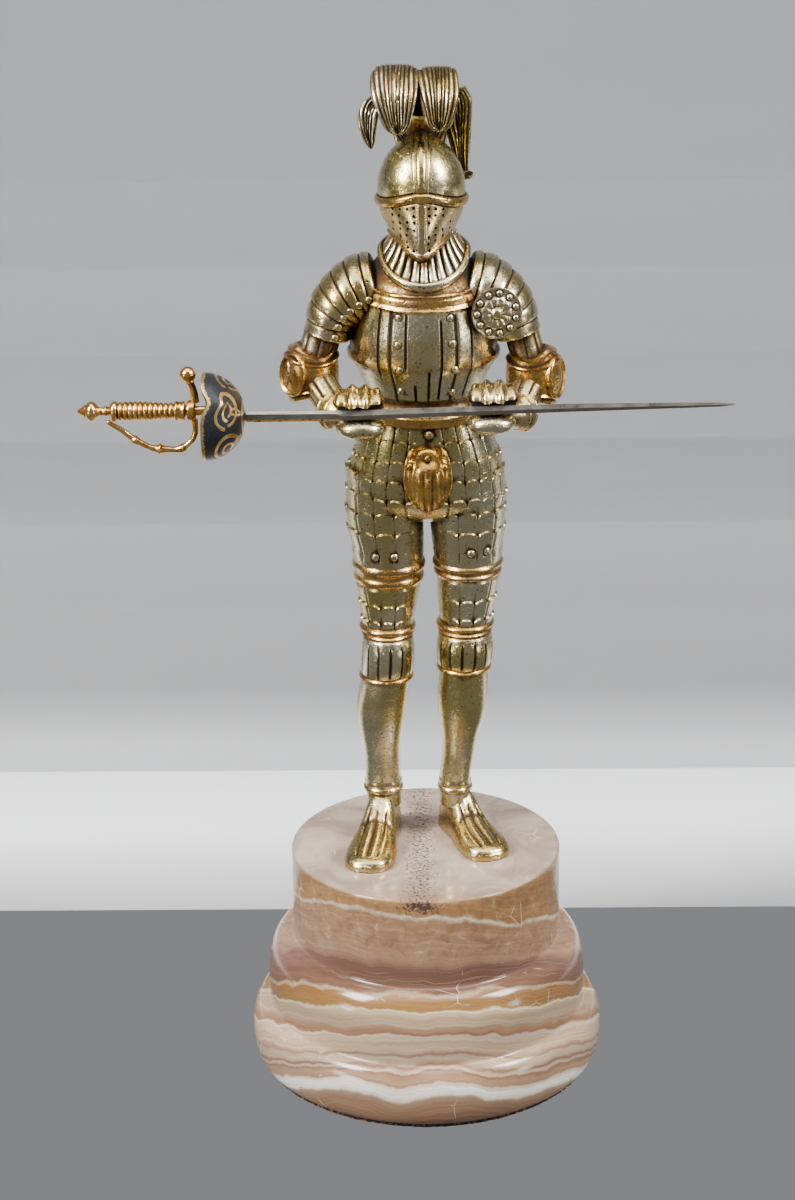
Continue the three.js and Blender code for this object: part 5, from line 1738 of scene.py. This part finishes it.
@dataclass(frozen=True)
class AgedBrass(Finish):
    """Cast brass, bright where rubbed, brown to black in the hollows, gilt where marked.

    Attributes:
        silver: The cooler of the two tones of the bare metal.
        olive: The warmer of the two.
        gold: The gilding's light tone.
        copper: The gilding's deep tone.
        brown: Patina over the slopes, and painted shade under the chin.
        black: Patina in the crevices, and painted shade in the visor's holes and inside the hands.
        grit: Depth of the pitted skin, in metres.
    """

    silver: str = "cbc09c"
    olive: str = "b5a364"
    gold: str = "d9ab55"
    copper: str = "b3752e"
    brown: str = "5e4428"
    black: str = "17110b"
    grit: float = 0.00016

    def dress(self, wiring: Wiring, shader: bpy.types.Node) -> None:
        """Feeds the shader."""
        place = wiring.place()
        broad = wiring.noise(place, 28, 3, 0.55, 0.6)
        cloud = wiring.noise(place, 150, 4, 0.65)
        fine = wiring.noise(place, 1100, 3, 0.65)
        pits = wiring.pits(place, 620, 0.16)
        hollow, rub = wiring.marks("hollow"), wiring.marks("rub")
        gilt, patina_and_shade = wiring.marks("gilt"), wiring.marks("patina_and_shade")
        bare = wiring.mix(wiring.range(broad, 0.38, 0.62), socket_colour(self.silver), socket_colour(self.olive))
        gilding = wiring.mix(wiring.range(cloud, 0.35, 0.65), socket_colour(self.gold), socket_colour(self.copper))
        worn = wiring.math("SUBTRACT", gilt, wiring.math("MULTIPLY", wiring.range(cloud, 0.35, 0.75), 0.45), True)
        base = wiring.mix(worn, bare, gilding)
        # The grime mark darkens like patina, and under the chin, in the visor's holes and inside the hands it is
        # painted shade.
        depth = wiring.math("ADD", wiring.math("MULTIPLY", hollow, 0.95), wiring.math("MULTIPLY", patina_and_shade, 0.75))
        depth = wiring.math("ADD", depth, wiring.range(cloud, 0.3, 0.75, -0.12, 0.2))
        depth = wiring.math("ADD", depth, wiring.range(fine, 0.35, 0.75, -0.1, 0.12))
        depth = wiring.math("SUBTRACT", depth, wiring.math("MULTIPLY", rub, 0.55))
        stained = wiring.mix(wiring.range(depth, 0.08, 0.52), base, socket_colour(self.brown))
        dark = wiring.mix(wiring.range(depth, 0.5, 0.95), stained, socket_colour(self.black))
        specks = wiring.math("MULTIPLY", pits, wiring.range(cloud, 0.42, 0.62))
        colour = wiring.mix(wiring.math("MULTIPLY", specks, 0.8), dark, socket_colour(self.black))
        wiring.link(colour, shader.inputs["Base Color"])
        metal = wiring.range(depth, 0.55, 1.0, 1.0, 0.45)
        wiring.link(metal, shader.inputs["Metallic"])
        rough = wiring.math("ADD", wiring.range(depth, -0.1, 0.8, 0.22, 0.55), wiring.range(fine, 0.3, 0.7, -0.04, 0.08))
        wiring.link(rough, shader.inputs["Roughness"])
        grain = wiring.math("SUBTRACT", wiring.math("ADD", wiring.math("MULTIPLY", fine, 0.45), wiring.math("MULTIPLY", cloud, 0.8)), wiring.math("MULTIPLY", pits, 0.5))
        wiring.bump(shader, grain, 0.5, self.grit)


@dataclass(frozen=True)
class Onyx(Finish):
    """Banded onyx marble, polished, its layers tilted towards the viewer and folded.

    Attributes:
        bands: Height of each change of colour, in millimetres on the front, and the colour from there up.
    """

    bands: Sequence[tuple[float, str]] = (
        (-3.0, "8a6a52"), (3.5, "94745a"), (6.6, "a3866c"), (7.9, "e9dfd0"), (9.6, "f4efe6"), (11.0, "e6d6c2"),
        (11.8, "a88567"), (13.6, "b08e70"), (15.2, "8a6448"), (15.9, "c9b397"), (17.0, "7a5640"), (18.1, "b59c80"),
        (20.3, "b8a388"), (21.0, "94705a"), (22.2, "c0a284"), (27.0, "c3a88a"), (27.9, "ddd0b8"), (28.5, "93694c"),
        (30.2, "9c7a5c"), (31.8, "b49a7c"), (36.4, "b39b7a"), (37.2, "d8c9a8"), (37.9, "94703e"), (42.2, "8d6236"),
        (43.0, "b79f80"), (43.8, "70503e"), (51.0, "77584a"), (54.0, "a58468"), (67.6, "a5805e"), (68.8, "dccbb2"),
        (69.9, "a8814f"), (75.5, "96724a"),
    )

    def dress(self, wiring: Wiring, shader: bpy.types.Node) -> None:
        """Feeds the shader."""
        place = wiring.place()
        split = wiring.add("ShaderNodeSeparateXYZ")
        wiring.link(place, split.inputs[0])
        x, y, z = split.outputs
        level = wiring.math("ADD", wiring.math("MULTIPLY", z, 1000.0), wiring.math("MULTIPLY_ADD", y, 371.0))
        level.node.inputs[1].links[0].from_node.inputs[2].default_value = 16.3
        fold = wiring.math("COSINE", wiring.math("MULTIPLY", wiring.math("SUBTRACT", x, 0.008), 162.0))
        fold = wiring.math("MULTIPLY", fold, wiring.range(level, 6.0, 30.0, -2.2, -0.3))
        slope = wiring.math("MULTIPLY", x, wiring.range(level, 40.0, 66.0, 0.0, 105.0))
        waves = wiring.range(wiring.noise(place, 34, 2, 0.5), 0.25, 0.75, -2.2, 2.2, False)
        ripples = wiring.range(wiring.noise(place, 130, 3, 0.6), 0.25, 0.75, -0.8, 0.8, False)
        for part in (fold, slope, waves, ripples):
            level = wiring.math("ADD", level, part)
        low, high = -6.0, 84.0
        ramp_node = wiring.add("ShaderNodeValToRGB")
        wiring.link(wiring.range(level, low, high, smooth=False), ramp_node.inputs[0])
        stops = ramp_node.color_ramp.elements
        for number, (height, code) in enumerate(self.bands):
            spot = (height - low) / (high - low)
            stop = stops[number] if number < 2 else stops.new(spot)
            stop.position = spot
            stop.color = socket_colour(code)
        combined = wiring.add("ShaderNodeCombineXYZ")
        wiring.link(wiring.math("MULTIPLY", x, 14.0), combined.inputs[0])
        wiring.link(wiring.math("MULTIPLY", y, 14.0), combined.inputs[1])
        wiring.link(wiring.math("MULTIPLY", level, 1.15), combined.inputs[2])
        streaks = wiring.noise(combined.outputs[0], 1.0, 4, 0.7)
        colour = wiring.mix(wiring.range(streaks, 0.3, 0.72, 0.0, 0.5), ramp_node.outputs[0],
                            socket_colour("6e4a34"), "MULTIPLY")
        colour = wiring.mix(wiring.range(streaks, 0.55, 0.8, 0.0, 0.35), colour, socket_colour("e2d3bd"))
        blotches = wiring.noise(place, 210, 5, 0.72, 0.8)
        drum = wiring.range(level, 50.0, 58.0)
        colour = wiring.mix(wiring.math("MULTIPLY", drum, wiring.range(blotches, 0.42, 0.66, 0.0, 0.5)), colour,
                            socket_colour("6b4836"))
        colour = wiring.mix(wiring.math("MULTIPLY", drum, wiring.range(blotches, 0.3, 0.42, 0.4, 0.0)), colour,
                            socket_colour("cdb497"))
        clouds = wiring.noise(place, 45, 4, 0.6, 1.2)
        top = wiring.math("MULTIPLY", wiring.range(z, 0.0735, 0.0743), wiring.range(y, -0.047, -0.030, 0.25, 1.0))
        smoke = wiring.mix(wiring.range(clouds, 0.35, 0.65), socket_colour("8d7a6c"), socket_colour("b3a091"))
        colour = wiring.mix(wiring.math("MULTIPLY", top, 0.9), colour, smoke)
        pit = self.pit(wiring, x, z, place)
        colour = wiring.mix(pit, colour, socket_colour("3b261c"))
        scratch = self.scratches(wiring, place)
        colour = wiring.mix(wiring.math("MULTIPLY", scratch, 0.5), colour, socket_colour("e8dccb"))
        wiring.link(colour, shader.inputs["Base Color"])
        rough = wiring.math("ADD", wiring.range(blotches, 0.3, 0.7, 0.1, 0.2), wiring.math("MULTIPLY", pit, 0.5))
        wiring.link(wiring.math("ADD", rough, wiring.math("MULTIPLY", scratch, 0.25)), shader.inputs["Roughness"])
        shader.inputs["IOR"].default_value = 1.5
        shader.inputs["Subsurface Weight"].default_value = 0.12
        shader.inputs["Subsurface Radius"].default_value = (1.0, 0.6, 0.35)
        shader.inputs["Subsurface Scale"].default_value = 0.003
        height = wiring.math("SUBTRACT", wiring.math("MULTIPLY", blotches, 0.12),
                             wiring.math("MULTIPLY", wiring.math("MULTIPLY", pit, wiring.noise(place, 1300, 3, 0.6)), 4.0))
        wiring.bump(shader, wiring.math("SUBTRACT", height, wiring.math("MULTIPLY", scratch, 0.4)), 0.35, 0.0002)

    @staticmethod
    def pit(wiring: Wiring, x: object, z: object, place: object) -> bpy.types.NodeSocket:
        """A ragged flaw under the rim at the front."""
        across = wiring.math("DIVIDE", wiring.math("ADD", x, 0.0018), 0.0062)
        upward = wiring.math("DIVIDE", wiring.math("SUBTRACT", z, 0.0722), 0.0026)
        away = wiring.math("SQRT", wiring.math("ADD", wiring.math("POWER", wiring.math("ABSOLUTE", across), 2.0),
                                               wiring.math("POWER", wiring.math("ABSOLUTE", upward), 2.0)))
        ragged = wiring.math("ADD", away, wiring.range(wiring.noise(place, 900, 4, 0.7), 0.25, 0.75, -0.9, 0.9))
        return wiring.range(ragged, 0.35, 0.95, 1.0, 0.0)

    @staticmethod
    def scratches(wiring: Wiring, place: object) -> bpy.types.NodeSocket:
        """A few fine scratches."""
        cells = wiring.add("ShaderNodeTexVoronoi", feature="DISTANCE_TO_EDGE")
        wiring.link(place, cells.inputs["Vector"])
        cells.inputs["Scale"].default_value = 95.0
        line = wiring.range(cells.outputs["Distance"], 0.004, 0.011, 1.0, 0.0)
        return wiring.math("MULTIPLY", line, wiring.range(wiring.noise(place, 70, 2, 0.5), 0.6, 0.66))


@dataclass(frozen=True)
class CorkPad(Finish):
    """Dark granulated cork with coppery grains."""

    def dress(self, wiring: Wiring, shader: bpy.types.Node) -> None:
        """Feeds the shader."""
        place = wiring.place()
        cells = wiring.add("ShaderNodeTexVoronoi", feature="F1")
        wiring.link(place, cells.inputs["Vector"])
        cells.inputs["Scale"].default_value = 900.0
        tone = wiring.add("ShaderNodeSeparateColor")
        wiring.link(cells.outputs["Color"], tone.inputs[0])
        colour = wiring.mix(tone.outputs[0], socket_colour("3a241a"), socket_colour("7d5138"))
        colour = wiring.mix(wiring.range(tone.outputs[1], 0.8, 0.95), colour, socket_colour("a87348"))
        colour = wiring.mix(wiring.range(cells.outputs["Distance"], 0.3, 0.6), colour, socket_colour("1c110c"))
        wiring.link(colour, shader.inputs["Base Color"])
        wiring.link(wiring.range(tone.outputs[0], 0.0, 1.0, 0.7, 0.95), shader.inputs["Roughness"])
        wiring.bump(shader, wiring.math("SUBTRACT", tone.outputs[0], cells.outputs["Distance"]), 0.8, 0.0003)


@dataclass(frozen=True)
class BladeSteel(Finish):
    """Dull steel ground lengthwise, with etched black and gold along the lower edge near the guard."""

    def dress(self, wiring: Wiring, shader: bpy.types.Node) -> None:
        """Feeds the shader."""
        place = wiring.place()
        split = wiring.add("ShaderNodeSeparateXYZ")
        wiring.link(place, split.inputs[0])
        x, _, z = split.outputs
        stretch = wiring.add("ShaderNodeVectorMath", operation="MULTIPLY")
        wiring.link(place, stretch.inputs[0])
        stretch.inputs[1].default_value = (0.05, 1.0, 1.0)
        grind = wiring.noise(stretch.outputs[0], 2600, 3, 0.6)
        cloud = wiring.noise(place, 190, 4, 0.65)
        steel = wiring.mix(cloud, socket_colour("a39e94"), socket_colour("7d776c"))
        steel = wiring.mix(wiring.range(grind, 0.35, 0.75, 0.0, 0.4), steel, socket_colour("4e483f"))
        rust = wiring.math("MULTIPLY", wiring.range(wiring.noise(place, 520, 4, 0.7), 0.56, 0.72),
                           wiring.range(cloud, 0.4, 0.65))
        steel = wiring.mix(wiring.math("MULTIPLY", rust, 0.6), steel, socket_colour("3d2c20"))
        near = wiring.math("MULTIPLY", wiring.range(x, -0.030, -0.0255, 1.0, 0.0), wiring.range(z, 0.2269, 0.2273, 1.0, 0.0))
        scrolls = wiring.add("ShaderNodeTexVoronoi", feature="SMOOTH_F1")
        wiring.link(place, scrolls.inputs["Vector"])
        scrolls.inputs["Scale"].default_value = 760.0
        leaf = wiring.range(scrolls.outputs["Distance"], 0.28, 0.36)
        etched = wiring.mix(leaf, socket_colour("15110e"), socket_colour("c79a4c"))
        wiring.link(wiring.mix(near, steel, etched), shader.inputs["Base Color"])
        shader.inputs["Metallic"].default_value = 1.0
        rough = wiring.math("ADD", wiring.range(cloud, 0.3, 0.7, 0.26, 0.42), wiring.math("MULTIPLY", rust, 0.25))
        wiring.link(rough, shader.inputs["Roughness"])
        wiring.bump(shader, wiring.math("SUBTRACT", grind, wiring.math("MULTIPLY", rust, 0.6)), 0.25, 0.0001)


@dataclass(frozen=True)
class GiltBrass(Finish):
    """Bright gilding over brass, browned in the hollows, with small scuffs.

    Attributes:
        deep: Not used; meant as the radius within which a hollow darkens, in metres.
    """

    deep: float = 0.0016

    def dress(self, wiring: Wiring, shader: bpy.types.Node) -> None:
        """Feeds the shader."""
        place = wiring.place()
        cloud = wiring.noise(place, 260, 4, 0.65)
        fine = wiring.noise(place, 1500, 3, 0.6)
        depth = wiring.math("ADD", wiring.marks("hollow"), wiring.range(cloud, 0.35, 0.75, -0.12, 0.22))
        gold = wiring.mix(wiring.range(cloud, 0.35, 0.68), socket_colour("f0c274"), socket_colour("cf9445"))
        gold = wiring.mix(wiring.range(depth, 0.12, 0.55), gold, socket_colour("8a5520"))
        gold = wiring.mix(wiring.range(depth, 0.5, 0.95), gold, socket_colour("2a170a"))
        wiring.link(gold, shader.inputs["Base Color"])
        shader.inputs["Metallic"].default_value = 1.0
        wiring.link(wiring.range(wiring.math("ADD", depth, wiring.math("MULTIPLY", fine, 0.4)), 0.1, 1.1, 0.2, 0.5),
                    shader.inputs["Roughness"])
        wiring.bump(shader, wiring.math("ADD", fine, wiring.math("MULTIPLY", cloud, 0.7)), 0.22, 0.00012)


@dataclass(frozen=True)
class Enamel(Finish):
    """Black enamel with gold scrollwork laid in where the mesh is marked."""

    def dress(self, wiring: Wiring, shader: bpy.types.Node) -> None:
        """Feeds the shader."""
        place = wiring.place()
        cloud = wiring.noise(place, 300, 4, 0.65)
        fine = wiring.noise(place, 1500, 3, 0.6)
        gold = wiring.mix(wiring.range(cloud, 0.35, 0.68), socket_colour("e6c887"), socket_colour("b98a45"))
        ground = wiring.mix(wiring.range(fine, 0.4, 0.8), socket_colour("141518"), socket_colour("2c2d31"))
        inlay = wiring.range(wiring.math("ADD", wiring.marks("gilt"), wiring.range(fine, 0.3, 0.7, -0.08, 0.08)), 0.42, 0.58)
        wiring.link(wiring.mix(inlay, ground, gold), shader.inputs["Base Color"])
        wiring.link(wiring.range(inlay, 0.0, 1.0, 0.15, 1.0), shader.inputs["Metallic"])
        wiring.link(wiring.math("ADD", wiring.range(inlay, 0.0, 1.0, 0.34, 0.28), wiring.math("MULTIPLY", cloud, 0.12)),
                    shader.inputs["Roughness"])
        wiring.bump(shader, wiring.math("ADD", inlay, wiring.math("MULTIPLY", fine, 0.2)), 0.5, 0.00015)


@dataclass(frozen=True)
class Paper(Finish):
    """The pale paper sweep of the studio."""

    def dress(self, wiring: Wiring, shader: bpy.types.Node) -> None:
        """Feeds the shader."""
        cloud = wiring.noise(wiring.place(), 1.5, 2, 0.5)
        colour = wiring.mix(cloud, socket_colour("dcdddf"), socket_colour("d3d4d7"))
        wiring.link(colour, shader.inputs["Base Color"])
        wiring.link(wiring.range(cloud, 0.3, 0.7, 0.5, 0.6), shader.inputs["Roughness"])


# --- Studio ---------------------------------------------------------------------------------------


@dataclass(frozen=True)
class Softbox:
    """A soft light."""

    name: str
    place: Triple
    target: Triple
    size: tuple[float, float]
    power: float
    colour: Triple = (1.0, 1.0, 1.0)

    def build(self) -> None:
        """Adds the light."""
        data = bpy.data.lights.new(self.name, "AREA")
        data.shape = "RECTANGLE"
        data.size, data.size_y = self.size
        data.energy = self.power
        data.color = self.colour
        lamp = bpy.data.objects.new(self.name, data)
        bpy.context.collection.objects.link(lamp)
        lamp.location = self.place
        aim = Vector(self.target) - Vector(self.place)
        lamp.rotation_euler = aim.to_track_quat("-Z", "Y").to_euler()


@dataclass
class Studio:
    """The pale paper sweep, the lights and the camera of the photograph."""

    focus: Triple = (0.0, 0.0, 0.15)

    def build(self) -> None:
        """Builds all of it."""
        self.sweep()
        self.lights()
        self.room()
        self.camera()

    def sweep(self) -> None:
        """A table of paper that curves up into a wall behind the figure."""
        bpy.ops.mesh.primitive_plane_add(size=1, location=(0, -0.2, 0))
        paper = bpy.context.object
        paper.name = "studio_sweep"
        bpy.ops.object.mode_set(mode="EDIT")
        bpy.ops.transform.resize(value=(9, 2.6, 1), center_override=(0, -1.2, 0))
        bpy.ops.object.mode_set(mode="OBJECT")
        shape = bmesh.new()
        shape.from_mesh(paper.data)
        edge = [e for e in shape.edges if all(v.co.y > 0.2 for v in e.verts)]
        for turn in np.linspace(0, math.pi / 2, 25)[1:]:
            grown = bmesh.ops.extrude_edge_only(shape, edges=edge)["geom"]
            edge = [g for g in grown if isinstance(g, bmesh.types.BMEdge)]
            for vertex in {v for e in edge for v in e.verts}:
                vertex.co.y = 0.35 + 1.1 * math.sin(turn)
                vertex.co.z = 1.1 * (1 - math.cos(turn))
        bmesh.ops.recalc_face_normals(shape, faces=shape.faces)
        if shape.faces[0].normal.z < 0:
            bmesh.ops.reverse_faces(shape, faces=shape.faces)
        shape.to_mesh(paper.data)
        shape.free()
        paper.data.shade_smooth()
        paper.data.materials.append(Paper("sweep_paper").material())

    def around(self, azimuth: float, elevation: float, distance: float) -> Triple:
        """A place about the figure: azimuth 0 is in front, positive to the viewer's right."""
        a, e = math.radians(azimuth), math.radians(elevation)
        return (self.focus[0] + distance * math.sin(a) * math.cos(e),
                self.focus[1] - distance * math.cos(a) * math.cos(e), self.focus[2] + distance * math.sin(e))

    def lights(self) -> None:
        """A softbox high on each side, a low strip under each, and a broad ceiling light."""
        for name, place, size, power in (
            ("softbox_left", self.around(-58, 38, 1.15), (0.34, 0.5), 30.0),
            ("softbox_right", self.around(67, 40, 1.15), (0.3, 0.46), 20.0),
            ("strip_left", self.around(-55, 0, 1.1), (0.16, 0.2), 1.6),
            ("strip_right", self.around(62, 0, 1.1), (0.14, 0.2), 1.2),
            ("ceiling", (0.0, -0.3, 1.9), (1.8, 1.4), 34.0),
        ):
            Softbox(name, place, self.focus, size, power).build()

    def room(self) -> None:
        """A dim, slightly cool room."""
        world = bpy.data.worlds.new("room")
        bpy.context.scene.world = world
        world.use_nodes = True
        background = world.node_tree.nodes["Background"]
        background.inputs["Color"].default_value = (0.78, 0.8, 0.84, 1)
        background.inputs["Strength"].default_value = 0.3

    def camera(self) -> None:
        """The camera, level with the figure's head and looking a little down."""
        pitch, yaw, roll = 0.3551, -0.0101, -0.0102
        data = bpy.data.cameras.new("camera")
        data.lens = 83.9
        data.sensor_width = 36.0
        data.sensor_fit = "AUTO"
        data.clip_start = 0.05
        data.clip_end = 20.0
        data.dof.use_dof = False
        camera = bpy.data.objects.new("camera", data)
        bpy.context.collection.objects.link(camera)
        forward = Vector((math.sin(yaw) * math.cos(pitch), math.cos(yaw) * math.cos(pitch), -math.sin(pitch)))
        right = Vector((math.cos(yaw), -math.sin(yaw), 0))
        up = right.cross(forward)
        level = math.cos(roll) * right + math.sin(roll) * up
        upright = -math.sin(roll) * right + math.cos(roll) * up
        camera.matrix_world = Matrix.Translation((0, -0.8341, 0.4686)) @ Matrix(
            (level, upright, -forward)).transposed().to_4x4()
        bpy.context.scene.camera = camera


def main() -> None:
    """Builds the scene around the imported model."""
    logging.basicConfig(level=logging.INFO, format="%(name)s: %(message)s")
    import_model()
    knight = Knight.assemble().build()
    knight.data.materials.clear()
    knight.data.materials.append(AgedBrass("aged_brass").material())
    LOG.info("knight casting: %d triangles", sum(len(p.vertices) - 2 for p in knight.data.polygons))
    Base().build()
    Sword().build()
    Studio().build()


if __name__ == "__main__":
    main()
